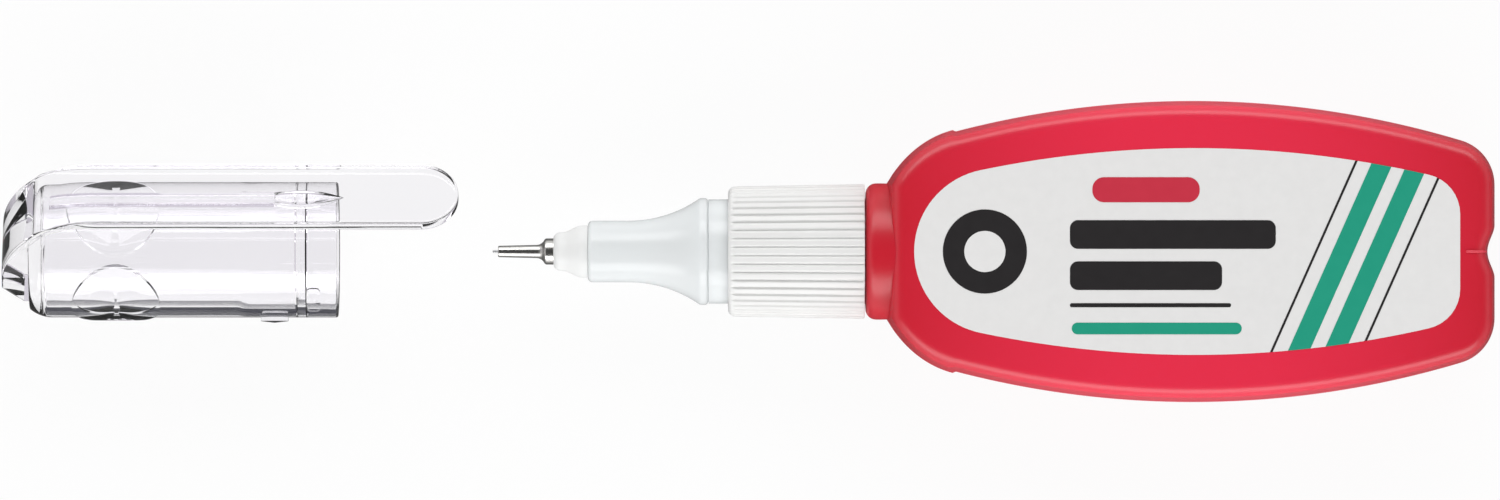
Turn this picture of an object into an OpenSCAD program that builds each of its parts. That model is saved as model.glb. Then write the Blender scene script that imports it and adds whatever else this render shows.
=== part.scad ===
// Squeeze correction pen lying on its flat back, with its clear cap taken off in front of the nose.
// The pen's axis is X, the writing point looks towards -X, and the printed face looks up (+Z).
// Lengths along the pen are counted from the front face of the screw collar (x = 0, rearwards +).

/* [Bottle] */
// Greatest width of the bottle
bottle_w = 33.8; // [30:0.1:38]
// Thickness of the bottle between its two flat faces
bottle_t = 16; // [15.8:0.1:19]
// Length of the flattened body, from the boss to the rear end
bottle_l = 68.2; // [62:0.1:76]
// Distance of the widest section from the front of the body
bottle_widest = 34.3; // [28:0.1:38]
// Radius of the long side arcs seen from above
bottle_side_r = 105; // [92:1:120]
// Length of the curved shoulder between the boss and the side arcs
shoulder_l = 7.5; // [6:0.1:11]
// Angle at which the shoulder leaves the boss
shoulder_angle = 60; // [50:1:68]
// Radius of the two rear corners
rear_corner_r = 5.2; // [4:0.1:7]
// Draft of the side walls, from the parting plane to the rim
side_draft = 0.5; // [0.2:0.05:0.9]
// Radius of the rim round the flat faces
rim_r = 1.5; // [1:0.05:2]
// Thickness of the squeezable wall
bottle_wall = 1; // [0.7:0.05:1.5]
// Depth of the pinch-off notch in the rear end
notch_depth = 0.8; // [0.4:0.05:1.2]
// Width of the pinch-off notch
notch_w = 5.7; // [4:0.1:8]
// Height of the ledge where the fuller shoulder ends
shoulder_ledge = 0.25; // [0.1:0.05:0.4]

/* [Boss and neck] */
// Diameter of the round boss behind the collar
boss_d = 15.3; // [15:0.05:15.6]
// Length of the boss that stands in front of the body
boss_l = 2.4; // [1.8:0.1:4]
// Radius of the boss's front edge
boss_edge_r = 1.2; // [0.5:0.1:1.6]
// Diameter of the neck between its thread rings
neck_d = 11.9; // [11.4:0.05:12.2]
// Bore of the neck
neck_bore = 9.4; // [8.5:0.1:10]
// Number of thread rings on the neck
thread_turns = 3; // [2:1:4]
// Spacing of the thread rings
thread_pitch = 2.4; // [1.8:0.1:2.6]

/* [Label] */
// Thickness of the printed label
label_t = 0.15; // [0.08:0.01:0.3]
// Red margin between the side of the bottle and the label, at the widest section
label_margin = 5.35; // [3.5:0.05:6]
// Red margin behind the label
label_rear_margin = 4.2; // [3:0.1:6]
// Red margin in front of the label, measured from the boss
label_front_margin = 3; // [2.5:0.1:5]
// Radius of the label's long side arcs
label_side_r = 117; // [100:1:130]
// Radius of the label's rear corners
label_corner_r = 4.5; // [1.5:0.1:5]

/* [Collar] */
// Diameter of the collar at its front
collar_front_d = 14.6; // [14.4:0.05:15]
// Diameter of the collar at its rear
collar_rear_d = 15.1; // [14.8:0.05:15.3]
// Length of the collar
collar_l = 15.3; // [13.5:0.1:18]
// Bore of the collar over the thread
collar_bore = 13; // [12.9:0.05:13.3]
// Thickness of the front wall that holds the nose flange
collar_front_wall = 1.2; // [0.8:0.1:1.6]
// Number of grip grooves round the collar
flute_count = 48; // [36:2:60]
// Depth of a grip groove
flute_depth = 0.25; // [0.15:0.05:0.35]
// Width of a grip groove
flute_w = 0.32; // [0.2:0.02:0.5]
// Radius of the collar's front edge
collar_edge_r = 0.8; // [0.4:0.1:1.1]

/* [Nose] */
// Length of the nose in front of the collar
nose_l = 15.7; // [14:0.1:18]
// Diameter of the nose at its front
nose_front_d = 6.9; // [6.5:0.1:7.6]
// Length of the straight front part
nose_front_l = 4.5; // [3.5:0.1:6]
// Diameter of the bead that the cap snaps over
bead_d = 12; // [11.8:0.05:12.1]
// Length of the bead
bead_l = 1.35; // [1:0.05:1.8]
// Distance of the bead from the collar
bead_gap = 2.2; // [1.6:0.1:3]
// Diameter of the nose between bead and collar
nose_neck_d = 11.7; // [11.3:0.05:11.75]
// Thickness of the trapped flange
flange_t = 1.2; // [0.8:0.1:1.6]
// Thickness of the nose wall at its rear
nose_wall = 1.3; // [1:0.05:1.8]
// Thickness of the neck gasket
gasket_t = 0.8; // [0.5:0.1:1.2]

/* [Tip holder] */
// Length of the holder that shows in front of the nose
holder_l = 3.9; // [3:0.1:5]
// Diameter of the holder at its front
holder_front_d = 4.3; // [3.9:0.05:4.8]
// Diameter of the holder against the nose
holder_rear_d = 5.95; // [5.5:0.05:6.4]
// Diameter of the holder's shank inside the nose
holder_shank_d = 5; // [4.7:0.05:5.2]
// Length of the shank inside the nose
holder_shank_l = 6; // [5.7:0.1:6.6]
// Bore of the spring chamber
chamber_d = 3.2; // [3.1:0.05:3.6]

/* [Metal tip] */
// Diameter of the metal tube at its mouth
tube_front_d = 1.28; // [1.15:0.01:1.4]
// Diameter of the metal tube at its root
tube_rear_d = 1.48; // [1.4:0.01:1.6]
// Length of the metal tube
tube_l = 4.3; // [3.6:0.1:5]
// Length of the concave flare behind the tube
tube_flare_l = 1; // [0.7:0.05:1.4]
// Diameter of the tip's flange
tip_flange_d = 3.1; // [2.8:0.05:3.5]
// Thickness of the tip's flange
tip_flange_t = 0.9; // [0.6:0.05:1.2]
// Diameter of the tip's spigot inside the holder
tip_spigot_d = 2; // [1.8:0.05:2.3]
// Length of the tip's spigot
tip_spigot_l = 2.2; // [1.6:0.1:2.6]
// Bore of the metal tube
tube_bore = 0.7; // [0.6:0.02:0.8]
// Diameter of the needle at the writing point
needle_d = 0.3; // [0.24:0.01:0.36]
// Length of the needle that stands out of the tube
needle_out = 0.62; // [0.55:0.01:0.8]
// Travel of the needle when it is pressed on paper
needle_travel = 0.5; // [0.3:0.05:0.55]

/* [Valve] */
// Diameter of the plunger's head
plunger_head_d = 2.6; // [2.4:0.05:2.8]
// Thickness of the plunger's head
plunger_head_t = 0.8; // [0.6:0.05:1.1]
// Diameter of the plunger's stem
plunger_stem_d = 1.2; // [1:0.05:1.3]
// Outer diameter of the spring
spring_d = 2.5; // [2.3:0.05:2.7]
// Diameter of the spring's wire
spring_wire = 0.28; // [0.2:0.01:0.32]
// Number of turns of the spring
spring_turns = 6; // [4:1:8]
// Thickness of the spring retainer
retainer_t = 1.4; // [1:0.1:1.8]
// Diameter of the mixing ball
ball_d = 5; // [4:0.1:6.5]

/* [Cap] */
// Distance between the cap's mouth and the needle, as the cap lies
cap_gap = 17.3; // [5:0.1:30]
// Length of the cap's barrel
cap_l = 34.6; // [31:0.1:40]
// Outer diameter of the cap's barrel
cap_d = 14.8; // [14.6:0.05:15]
// Inner diameter at the cap's mouth
cap_mouth_d = 12.9; // [12.6:0.05:13.1]
// Length of the wide part of the bore
cap_wide_l = 11.2; // [9:0.1:13]
// Inner diameter of the deep part of the bore
cap_deep_d = 12.2; // [11:0.1:12.4]
// Thickness of the closed end
cap_end_t = 1.6; // [1.2:0.1:2.4]
// Length over which the barrel curves in to its closed end
cap_end_l = 2.6; // [1.5:0.1:3.5]
// Depth by which the barrel has curved in at its closed end
cap_end_drop = 0.95; // [0.4:0.05:1.2]
// Length of the snap ring inside the mouth
snap_l = 0.9; // [0.6:0.1:1.4]
// Diameter of the raised round pads
pad_d = 9.9; // [8:0.1:10.4]
// Height of the raised round pads
pad_h = 0.55; // [0.3:0.05:0.58]
// Distance of the pads' centres from the closed end
pad_at = 9.8; // [8:0.1:14]
// Height of the small lug on the side of the mouth
side_lug_h = 0.35; // [0.2:0.05:0.5]
// Height of the longer lug at the bottom
low_lug_h = 0.6; // [0.3:0.05:0.8]

/* [Clip] */
// Angle of the clip round the cap, from straight up towards +Y
clip_angle = 38; // [30:1:45]
// Width of the clip
clip_w = 8.35; // [7:0.05:9]
// Thickness of the clip
clip_t = 1.45; // [1.1:0.05:1.6]
// Gap between the clip and the barrel
clip_gap = 1.75; // [1.6:0.05:2.2]
// Length of the clip past the cap's mouth
clip_over = 13.6; // [10:0.1:14.5]
// Thickness of the strap over the closed end
strap_t = 3.1; // [2.2:0.1:4]
// Reach of the strap past the centre of the closed end
strap_reach = 3.9; // [3:0.1:5.5]
// Bevel at the strap's end
strap_bevel = 2.4; // [1.5:0.1:2.8]
// Outer radius of the bend from strap to clip
bend_r = 10.6; // [8:0.1:10.9]
// Inner radius of the bend, where the clip leaves the closed end
bend_inner_r = 3.6; // [2:0.1:4]
// Width of the rib under the clip
rib_w = 1.35; // [1:0.05:1.8]
// Height of the rib under the clip
rib_h = 0.9; // [0.5:0.05:1.1]
// Length of the grip bump under the clip
bump_l = 9.8; // [7:0.1:11]
// Width of the grip bump
bump_w = 2.1; // [1.6:0.05:3]
// Height of the grip bump
bump_h = 1.35; // [1:0.05:1.45]
// Distance that the bump's front reaches past the mouth
bump_over = 0.8; // [0.2:0.1:2]

/* [Hidden] */

// Clearances between pieces that fit together
press_gap = 0.02;
fit_gap = 0.05;
face_gap = 0.1;
loose_gap = 0.1;
// Extra length of a cutting shape past the face that it cuts
cut = 1;
// Depth at which the bend's inner arc meets the closed end, below its face
bend_bury = 0.06;
// Depth trimmed off the moulded form to leave the two flat faces
face_trim = 0.02;
// Smoothness of round pieces
$fn = 96;

// Stations along the axis
boss_x = collar_l + face_gap;
body_x = boss_x + boss_l;
rear_x = body_x + bottle_l;
nose_x = -nose_l;
holder_x = nose_x - holder_l;
tip_flange_x = holder_x - tip_flange_t;
tube_root_x = tip_flange_x - tube_flare_l;
tube_mouth_x = tube_root_x - tube_l;
needle_x = tube_mouth_x - needle_out;
spigot_end_x = holder_x + tip_spigot_l;
holder_end_x = nose_x + holder_shank_l;
flange_end_x = collar_front_wall + flange_t;
neck_x = flange_end_x + gasket_t;
mouth_x = needle_x - cap_gap;
cap_end_x = mouth_x - cap_l;
strap_x = cap_end_x - strap_t;
centre_x = (strap_x + rear_x) / 2;
// Travel of the cap from where it lies to its seat against the collar
cap_travel = -mouth_x;

// Outline of the bottle seen from above, x from the front of the body
rear_corner_x = bottle_l - rear_corner_r;
side_centre_y = bottle_w / 2 - bottle_side_r;
rear_corner_y = side_centre_y
    + sqrt(pow(bottle_side_r - rear_corner_r, 2) - pow(rear_corner_x - bottle_widest, 2));
rear_touch_angle = atan2(rear_corner_y - side_centre_y, rear_corner_x - bottle_widest);
side_start_angle = acos((shoulder_l - bottle_widest) / bottle_side_r);
shoulder_end = side_point(side_start_angle);
side_slope = -cos(side_start_angle) / sin(side_start_angle);
shoulder_rise = tan(shoulder_angle);
shoulder_bend_x = (shoulder_end[1] - boss_d / 2 - side_slope * shoulder_l) / (shoulder_rise - side_slope);
shoulder_start = [0, boss_d / 2];
shoulder_bend = [shoulder_bend_x, boss_d / 2 + shoulder_rise * shoulder_bend_x];
// Share of the shoulder curve in front of the ledge
shoulder_share = 0.97;
shoulder_steps = 10;
side_steps = 18;
corner_steps = 8;
rim_steps = 4;

function side_point(angle) =
    [bottle_widest + bottle_side_r * cos(angle), side_centre_y + bottle_side_r * sin(angle)];
function blend(t) = (1 - cos(180 * t)) / 2;
function arc(centre, radius, from, to, steps) =
    [for (i = [0:steps]) let(a = from + (to - from) * i / steps) centre + radius * [cos(a), sin(a)]];
function unit(v) = v / norm(v);

// The shoulder is a curve drawn by its two ends and the point where their tangents meet,
// and it fills out towards its rear end, where it drops back to the body with a ledge
function shoulder_point(t) =
    pow(1 - t, 2) * shoulder_start + 2 * t * (1 - t) * shoulder_bend + t * t * shoulder_end
    + shoulder_ledge * blend(t) * shoulder_normal(t);
function shoulder_normal(t) =
    let(run = (1 - t) * (shoulder_bend - shoulder_start) + t * (shoulder_end - shoulder_bend))
    unit([-run[1], run[0]]);

// Each station of the outline is a point and the outward direction there
half_outline = concat(
    [for (i = [0:shoulder_steps]) let(t = i / shoulder_steps * shoulder_share)
        [shoulder_point(t), shoulder_normal(t)]],
    [for (i = [0:side_steps - 1])
        let(a = side_start_angle + (rear_touch_angle - side_start_angle) * i / side_steps)
        [side_point(a), [cos(a), sin(a)]]],
    [for (i = [0:corner_steps])
        let(a = rear_touch_angle * (1 - i / corner_steps))
        [[rear_corner_x, rear_corner_y] + rear_corner_r * [cos(a), sin(a)], [cos(a), sin(a)]]]
);
function flipped(v) = [v[0], -v[1]];
function mirrored(stations) =
    [for (i = [len(stations) - 1:-1:0]) [flipped(stations[i][0]), flipped(stations[i][1])]];
full_outline = concat(half_outline, mirrored(half_outline));
function inset_outline(depth) = [for (s = full_outline) s[0] - depth * s[1]];

// How far the wall stands in from the parting plane's outline at a height above that plane
function rim_inset(height, half_t) =
    let(over = abs(height) - (half_t - rim_r))
    over <= 0
        ? side_draft * abs(height) / (half_t - rim_r)
        : side_draft + rim_r - sqrt(max(0, rim_r * rim_r - over * over));
function rim_heights(half_t) =
    let(top = [for (i = [0:rim_steps]) half_t - rim_r + rim_r * sin(90 * i / rim_steps)])
    concat([for (i = [rim_steps:-1:0]) -top[i]], [0], top);

// Closed solid through the bottle's outline at each height, all of it deeper by a wall
module bottle_form(half_t, wall) {
    heights = rim_heights(half_t);
    rings = len(heights);
    count = len(full_outline);
    points = [
        for (h = heights) let(ring = inset_outline(wall + rim_inset(h, half_t)))
            for (p = ring) [p[0], p[1], h]
    ];
    sides = [
        for (r = [0:rings - 2], i = [0:count - 1])
            let(a = r * count + i, b = r * count + (i + 1) % count)
            [a, b, b + count, a + count]
    ];
    floor_face = [for (i = [count - 1:-1:0]) i];
    top_face = [for (i = [0:count - 1]) (rings - 1) * count + i];
    polyhedron(points, concat([floor_face], sides, [top_face]), convexity = 4);
}

// Turns a profile of [radius, x] points round the pen's axis
module turned(profile) {
    rotate([0, 90, 0]) rotate_extrude() polygon(profile);
}

// Solid rod along the axis between two stations
module rod(diameter, from, to) {
    translate([from, 0, 0]) rotate([0, 90, 0]) cylinder(d = diameter, h = to - from);
}

// Puts a piece that is drawn on the pen's axis into the part's own frame
module placed() {
    translate([-centre_x, 0, bottle_t / 2]) children();
}

// Flat outline of the label, grown by a clearance, x from the front of the body.
// Its round front end is the circle that runs into both side arcs without a corner.
module label_outline(grow) {
    centre_y = bottle_w / 2 - label_margin - label_side_r;
    reach = label_side_r + label_front_margin;
    front_centre_x = (reach * reach - pow(bottle_widest, 2) - centre_y * centre_y)
        / (2 * (reach - bottle_widest));
    front_r = front_centre_x - label_front_margin + grow;
    side_r = label_side_r + grow;
    corner_r = label_corner_r + grow;
    corner_x = bottle_l - label_rear_margin - label_corner_r;
    corner_y = centre_y + sqrt(pow(side_r - corner_r, 2) - pow(corner_x - bottle_widest, 2));
    front_touch = atan2(-centre_y, front_centre_x - bottle_widest);
    rear_touch = atan2(corner_y - centre_y, corner_x - bottle_widest);
    upper = concat(
        arc([front_centre_x, 0], front_r, 180, front_touch, 20),
        arc([bottle_widest, centre_y], side_r, front_touch, rear_touch, 30),
        arc([corner_x, corner_y], corner_r, rear_touch, 0, 8)
    );
    lower = [for (i = [len(upper) - 1:-1:1]) [upper[i][0], -upper[i][1]]];
    polygon(concat(upper, lower));
}

module bottle() {
    color("#d02b45") placed() difference() {
        union() {
            translate([body_x, 0, 0]) intersection() {
                bottle_form(bottle_t / 2 + face_trim, 0);
                translate([-cut, -bottle_w, -bottle_t / 2])
                    cube([bottle_l + 2 * cut, 2 * bottle_w, bottle_t]);
            }
            boss();
            neck();
        }
        translate([body_x, 0, 0]) {
            bottle_form(bottle_t / 2 - bottle_wall, bottle_wall);
            translate([0, 0, bottle_t / 2 - label_t]) linear_extrude(label_t + cut) label_outline(press_gap);
            rear_notch();
        }
        rod(neck_bore, neck_x - cut, body_x + bottle_wall + rim_r + side_draft + cut);
    }
}

// Round boss that runs into the front of the flattened body
module boss() {
    r = boss_d / 2;
    run_in = rim_r + side_draft + bottle_wall;
    turned(concat(
        [[neck_bore / 2 - fit_gap, body_x + run_in], [neck_bore / 2 - fit_gap, boss_x]],
        arc([r - boss_edge_r, boss_x + boss_edge_r], boss_edge_r, -90, 0, 8),
        [[r, body_x + run_in]]
    ));
}

// Neck with plain thread rings, which the collar screws over
module neck() {
    ring_d = collar_bore - 2 * fit_gap;
    ring_l = thread_pitch / 2;
    rod(neck_d, neck_x, boss_x + face_gap);
    for (i = [0:thread_turns - 1]) {
        start = neck_x + 1.5 + i * thread_pitch;
        turned([
            [neck_bore / 2, start], [neck_d / 2, start], [ring_d / 2, start + ring_l / 3],
            [ring_d / 2, start + ring_l * 2 / 3], [neck_d / 2, start + ring_l], [neck_bore / 2, start + ring_l]
        ]);
    }
}

// V-shaped groove left in the rear end where the blown tube was pinched off
module rear_notch() {
    translate([0, 0, -bottle_t]) linear_extrude(2 * bottle_t) polygon([
        [bottle_l - notch_depth, 0], [bottle_l + cut, -notch_w / 2 * (1 + cut / notch_depth)],
        [bottle_l + cut, notch_w / 2 * (1 + cut / notch_depth)]
    ]);
}

module label() {
    color("#e4e2e0") placed()
        translate([body_x, 0, bottle_t / 2 - label_t]) linear_extrude(label_t) label_outline(0);
}

module neck_gasket() {
    color("#c9c9c4") placed() difference() {
        rod(collar_bore - 4 * fit_gap, flange_end_x, neck_x);
        rod(neck_bore, flange_end_x - cut, neck_x + cut);
    }
}

module screw_collar() {
    front_r = collar_front_d / 2;
    rear_r = collar_rear_d / 2;
    color("#f0f0ee") placed() difference() {
        turned(concat(
            [[bead_d / 2 - cut, collar_l], [bead_d / 2 - cut, 0]],
            arc([front_r - collar_edge_r, collar_edge_r], collar_edge_r, -90, 0, 8),
            [[rear_r, collar_l]]
        ));
        rod(bead_d + 2 * fit_gap, -cut, collar_l + cut);
        rod(collar_bore, collar_front_wall, collar_l + cut);
        for (i = [0:flute_count - 1]) rotate([360 * i / flute_count, 0, 0]) collar_flute();
    }
}

// One straight V groove that follows the collar's draft and runs out of both ends
module collar_flute() {
    slope = atan2((collar_rear_d - collar_front_d) / 2, collar_l);
    translate([0, 0, collar_front_d / 2]) rotate([0, -slope, 0]) rotate([0, 90, 0])
        translate([0, 0, collar_edge_r]) linear_extrude(collar_l + cut)
            polygon([[flute_depth, 0], [-flute_depth, -flute_w], [-flute_depth, flute_w]]);
}

module nose_cone() {
    front_r = nose_front_d / 2;
    neck_r = nose_neck_d / 2;
    bead_r = bead_d / 2;
    edge_r = 0.45;
    bead_edge = 0.15;
    bead_rear_x = -bead_gap;
    bead_front_x = bead_rear_x - bead_l;
    flare_x = nose_x + nose_front_l;
    flare_l = bead_front_x - flare_x;
    flare_top_r = neck_r - 0.15;
    flare_r = (flare_l * flare_l + pow(flare_top_r - front_r, 2)) / (2 * (flare_top_r - front_r));
    flare_sweep = asin(flare_l / flare_r);
    flange_r = collar_bore / 2 - fit_gap;
    throat_r = holder_shank_d / 2 + press_gap;
    rear_bore_r = neck_bore / 2;
    color("#e6eaea") placed() turned(concat(
        [[throat_r, holder_end_x], [throat_r, nose_x]],
        arc([front_r - edge_r, nose_x + edge_r], edge_r, -90, 0, 6),
        arc([front_r + flare_r, flare_x], flare_r, 180, 180 - flare_sweep, 18),
        [
            [bead_r - bead_edge, bead_front_x], [bead_r, bead_front_x + bead_edge],
            [bead_r, bead_rear_x - bead_edge], [bead_r - bead_edge, bead_rear_x],
            [neck_r, bead_rear_x], [neck_r, collar_front_wall], [flange_r, collar_front_wall],
            [flange_r, flange_end_x], [rear_bore_r, flange_end_x], [rear_bore_r, bead_front_x]
        ],
        [[front_r - nose_wall / 2 + 0.1, flare_x + flare_l / 3], [throat_r, holder_end_x + 0.3]]
    ));
}

module tip_holder() {
    front_r = holder_front_d / 2;
    rear_r = holder_rear_d / 2;
    shank_r = holder_shank_d / 2;
    edge_r = 0.35;
    shoulder_from = 0.25;
    shoulder_to = 0.8;
    color("#f3f3f1") placed() difference() {
        turned(concat(
            [[0, holder_end_x], [0, holder_x]],
            arc([front_r - edge_r, holder_x + edge_r], edge_r, -90, 0, 6),
            [for (i = [0:10]) let(t = i / 10)
                [front_r + (rear_r - front_r) * blend(t),
                 holder_x + holder_l * (shoulder_from + (shoulder_to - shoulder_from) * t)]],
            [[rear_r, nose_x], [shank_r, nose_x], [shank_r, holder_end_x]]
        ));
        rod(tip_spigot_d + 2 * press_gap, holder_x - cut, spigot_end_x + cut);
        rod(chamber_d, spigot_end_x, holder_end_x + cut);
    }
}

module metal_tip() {
    front_r = tube_front_d / 2;
    rear_r = tube_rear_d / 2;
    flange_r = tip_flange_d / 2;
    spigot_r = tip_spigot_d / 2;
    mouth_l = 0.5;
    mouth_r = needle_d / 2 + fit_gap;
    lip = 0.12;
    flare_top_r = flange_r - 0.45;
    color("#b9b9b6") placed() turned(concat(
        [[mouth_r, tube_mouth_x], [front_r - lip, tube_mouth_x], [front_r, tube_mouth_x + lip]],
        [for (i = [0:8]) let(t = i / 8)
            [rear_r + (flare_top_r - rear_r) * (1 - cos(90 * t)), tube_root_x + tube_flare_l * sin(90 * t)]],
        [
            [flange_r - lip, tip_flange_x], [flange_r, tip_flange_x + lip], [flange_r, holder_x],
            [spigot_r, holder_x], [spigot_r, spigot_end_x], [tube_bore / 2, spigot_end_x],
            [tube_bore / 2, tube_mouth_x + mouth_l], [mouth_r, tube_mouth_x + mouth_l - 0.2]
        ]
    ));
}

module needle() {
    point_r = needle_d / 2;
    shank_r = tube_bore / 2 - loose_gap;
    shank_x = tube_mouth_x + 0.7;
    root_x = spigot_end_x + press_gap;
    color("#8f9092") placed() turned(concat(
        [[0, root_x]],
        [for (i = [0:5]) let(a = 18 * i) [point_r * sin(a), needle_x + point_r * (1 - cos(a))]],
        [[point_r, shank_x - 0.2], [shank_r, shank_x], [shank_r, root_x]]
    ));
}

module valve_plunger() {
    head_x = spigot_end_x + press_gap;
    head_end_x = head_x + plunger_head_t;
    stem_end_x = holder_end_x - retainer_t / 2;
    color("#dcdcd8") placed() turned([
        [0, head_x], [plunger_head_d / 2 - 0.2, head_x], [plunger_head_d / 2, head_x + 0.2],
        [plunger_head_d / 2, head_end_x], [plunger_stem_d / 2, head_end_x],
        [plunger_stem_d / 2, stem_end_x - 0.2], [plunger_stem_d / 2 - 0.2, stem_end_x], [0, stem_end_x]
    ]);
}

module valve_spring() {
    wire_r = spring_wire / 2;
    coil_r = spring_d / 2 - wire_r;
    start_x = spigot_end_x + press_gap + plunger_head_t + wire_r + press_gap;
    end_x = holder_end_x - retainer_t - wire_r - press_gap;
    steps_per_turn = 14;
    sides = 6;
    steps = spring_turns * steps_per_turn;
    slope = atan2(end_x - start_x, 360 * coil_r * spring_turns * PI / 180);
    points = [
        for (i = [0:steps]) let(turn = 360 * i / steps_per_turn)
            for (k = [0:sides - 1]) let(a = 360 * k / sides, out = coil_r + wire_r * cos(a)) [
                start_x + (end_x - start_x) * i / steps + wire_r * sin(a) * cos(slope),
                out * cos(turn) + wire_r * sin(a) * sin(slope) * sin(turn),
                out * sin(turn) - wire_r * sin(a) * sin(slope) * cos(turn)
            ]
    ];
    walls = [
        for (i = [0:steps - 1], k = [0:sides - 1])
            let(a = i * sides + k, b = i * sides + (k + 1) % sides)
            [a, a + sides, b + sides, b]
    ];
    start_face = [for (k = [0:sides - 1]) k];
    end_face = [for (k = [sides - 1:-1:0]) steps * sides + k];
    color("#a8a9ab") placed() polyhedron(points, concat([start_face], walls, [end_face]), convexity = 10);
}

module spring_retainer() {
    start_x = holder_end_x - retainer_t;
    flow_holes = 3;
    flow_d = 0.6;
    guide_d = plunger_stem_d + 2 * loose_gap;
    flow_at = (chamber_d + guide_d) / 4;
    color("#eceae4") placed() difference() {
        rod(chamber_d - 2 * press_gap, start_x, holder_end_x);
        rod(guide_d, start_x - cut, holder_end_x + cut);
        for (i = [0:flow_holes - 1])
            rotate([360 * i / flow_holes, 0, 0]) translate([0, flow_at, 0])
                rod(flow_d, start_x - cut, holder_end_x + cut);
    }
}

// The loose ball that stirs the fluid lies on the bottle's inner wall
module mixing_ball() {
    color("#9b9c9e") placed()
        translate([body_x + bottle_widest, 0, -bottle_t / 2 + bottle_wall + ball_d / 2]) sphere(d = ball_d);
}

// The cap is drawn with its clip straight up and then turned to the clip's angle
module cap() {
    color("#e8e8f0", 0.45) placed() rotate([-clip_angle, 0, 0]) difference() {
        union() {
            cap_barrel();
            cap_pads();
            cap_lugs();
            clip_strap();
            clip_rib();
            clip_bump();
        }
        cap_bore();
    }
}

module cap_barrel() {
    r = cap_d / 2;
    lip = 0.25;
    end_curve_r = (cap_end_l * cap_end_l + cap_end_drop * cap_end_drop) / (2 * cap_end_drop);
    end_sweep = asin(cap_end_l / end_curve_r);
    turned(concat(
        [[0, mouth_x], [0, cap_end_x]],
        arc([r - end_curve_r, cap_end_x + cap_end_l], end_curve_r, -end_sweep, 0, 8),
        [[r, mouth_x - lip], [r - lip, mouth_x]]
    ));
}

// Two small lugs outside the mouth, a cross one on the side and a longer one at the bottom
module cap_lugs() {
    side_lug_angle = 48;
    side_lug_at = 1.9;
    side_lug_size = [1.55, 3.7];
    low_lug_at = 5.6;
    low_lug_size = [3.1, 1.9];
    cap_lug(side_lug_angle + clip_angle, side_lug_at, side_lug_size, side_lug_h);
    cap_lug(90 + clip_angle, low_lug_at, low_lug_size, low_lug_h);
}

// One lug by its angle from the clip, distance from the mouth, length and width, and height
module cap_lug(angle, at, size, height) {
    intersection() {
        rotate([angle, 0, 0]) translate([mouth_x - at - size[0], -size[1] / 2, 0])
            cube([size[0], size[1], cap_d]);
        rod(cap_d + 2 * height, cap_end_x, mouth_x);
    }
}

// Stepped bore with the snap ring that holds on the nose's bead
module cap_bore() {
    mouth_r = cap_mouth_d / 2;
    snap_r = bead_d / 2 + fit_gap;
    snap_x = mouth_x - bead_gap - bead_l - fit_gap;
    deep_x = mouth_x - cap_wide_l;
    ease = 0.25;
    turned([
        [0, mouth_x + cut], [mouth_r, mouth_x + cut], [mouth_r, snap_x + ease], [snap_r, snap_x],
        [snap_r, snap_x - snap_l + ease], [mouth_r, snap_x - snap_l - ease], [mouth_r, deep_x + ease],
        [cap_deep_d / 2, deep_x], [cap_deep_d / 2, cap_end_x + cap_end_t], [0, cap_end_x + cap_end_t]
    ]);
}

// Two raised round pads, one under the clip and one a quarter turn round from it
module cap_pads() {
    for (turn = [0, 90]) rotate([turn, 0, 0]) intersection() {
        translate([cap_end_x + pad_at, 0, 0]) cylinder(d = pad_d, h = cap_d);
        rod(cap_d + 2 * pad_h, cap_end_x, mouth_x);
    }
}

clip_low = cap_d / 2 + clip_gap;
clip_high = clip_low + clip_t;
clip_end_x = mouth_x + clip_over;

// Strap over the closed end, its bend and the flat clip, as one profile of [x, height]
module clip_strap() {
    inner_x = cap_end_x + bend_bury + bend_inner_r;
    root_x = cap_end_x + cap_end_t / 2;
    profile = concat(
        [
            [root_x, -strap_reach], [strap_x + strap_bevel, -strap_reach],
            [strap_x, strap_bevel - strap_reach]
        ],
        arc([strap_x + bend_r, clip_high - bend_r], bend_r, 180, 90, 18),
        [[clip_end_x, clip_high], [clip_end_x, clip_low]],
        arc([inner_x, clip_low - bend_inner_r], bend_inner_r, 90, 180, 8),
        [[cap_end_x + bend_bury, strap_reach], [root_x, strap_reach]]
    );
    intersection() {
        rotate([90, 0, 0]) linear_extrude(clip_w, center = true) polygon(profile);
        clip_plan();
    }
}

// Outline of the clip seen from above, with its full-round free end
module clip_plan() {
    translate([0, 0, -clip_high]) linear_extrude(3 * clip_high) {
        translate([strap_x - cut, -clip_w / 2])
            square([clip_end_x - clip_w / 2 - strap_x + cut, clip_w]);
        translate([clip_end_x - clip_w / 2, 0]) circle(d = clip_w);
    }
}

// The rib starts inside the bend, where the bend is thick enough to hold it
module clip_rib() {
    rib_bury = 0.1;
    rib_start_x = cap_end_x + 0.72 * bend_inner_r;
    rib_end_x = mouth_x + bump_over - bump_l + bump_w;
    translate([rib_start_x, -rib_w / 2, clip_low - rib_h])
        cube([rib_end_x - rib_start_x, rib_w, rib_h + rib_bury]);
}

// Boat-shaped grip bump, a long arc seen from the side and a lens seen from above
module clip_bump() {
    side_r = (pow(bump_l / 2, 2) + bump_h * bump_h) / (2 * bump_h);
    plan_r = (pow(bump_l / 2, 2) + pow(bump_w / 2, 2)) / bump_w;
    middle_x = mouth_x + bump_over - bump_l / 2;
    intersection() {
        translate([middle_x, clip_w / 2, clip_low - bump_h + side_r]) rotate([90, 0, 0])
            cylinder(r = side_r, h = clip_w);
        translate([middle_x, plan_r - bump_w / 2, 0]) cylinder(r = plan_r, h = clip_high);
        translate([middle_x, bump_w / 2 - plan_r, 0]) cylinder(r = plan_r, h = clip_high);
        translate([middle_x - bump_l, -clip_w / 2, 0]) cube([2 * bump_l, clip_w, clip_low + clip_t / 2]);
    }
}

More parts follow.
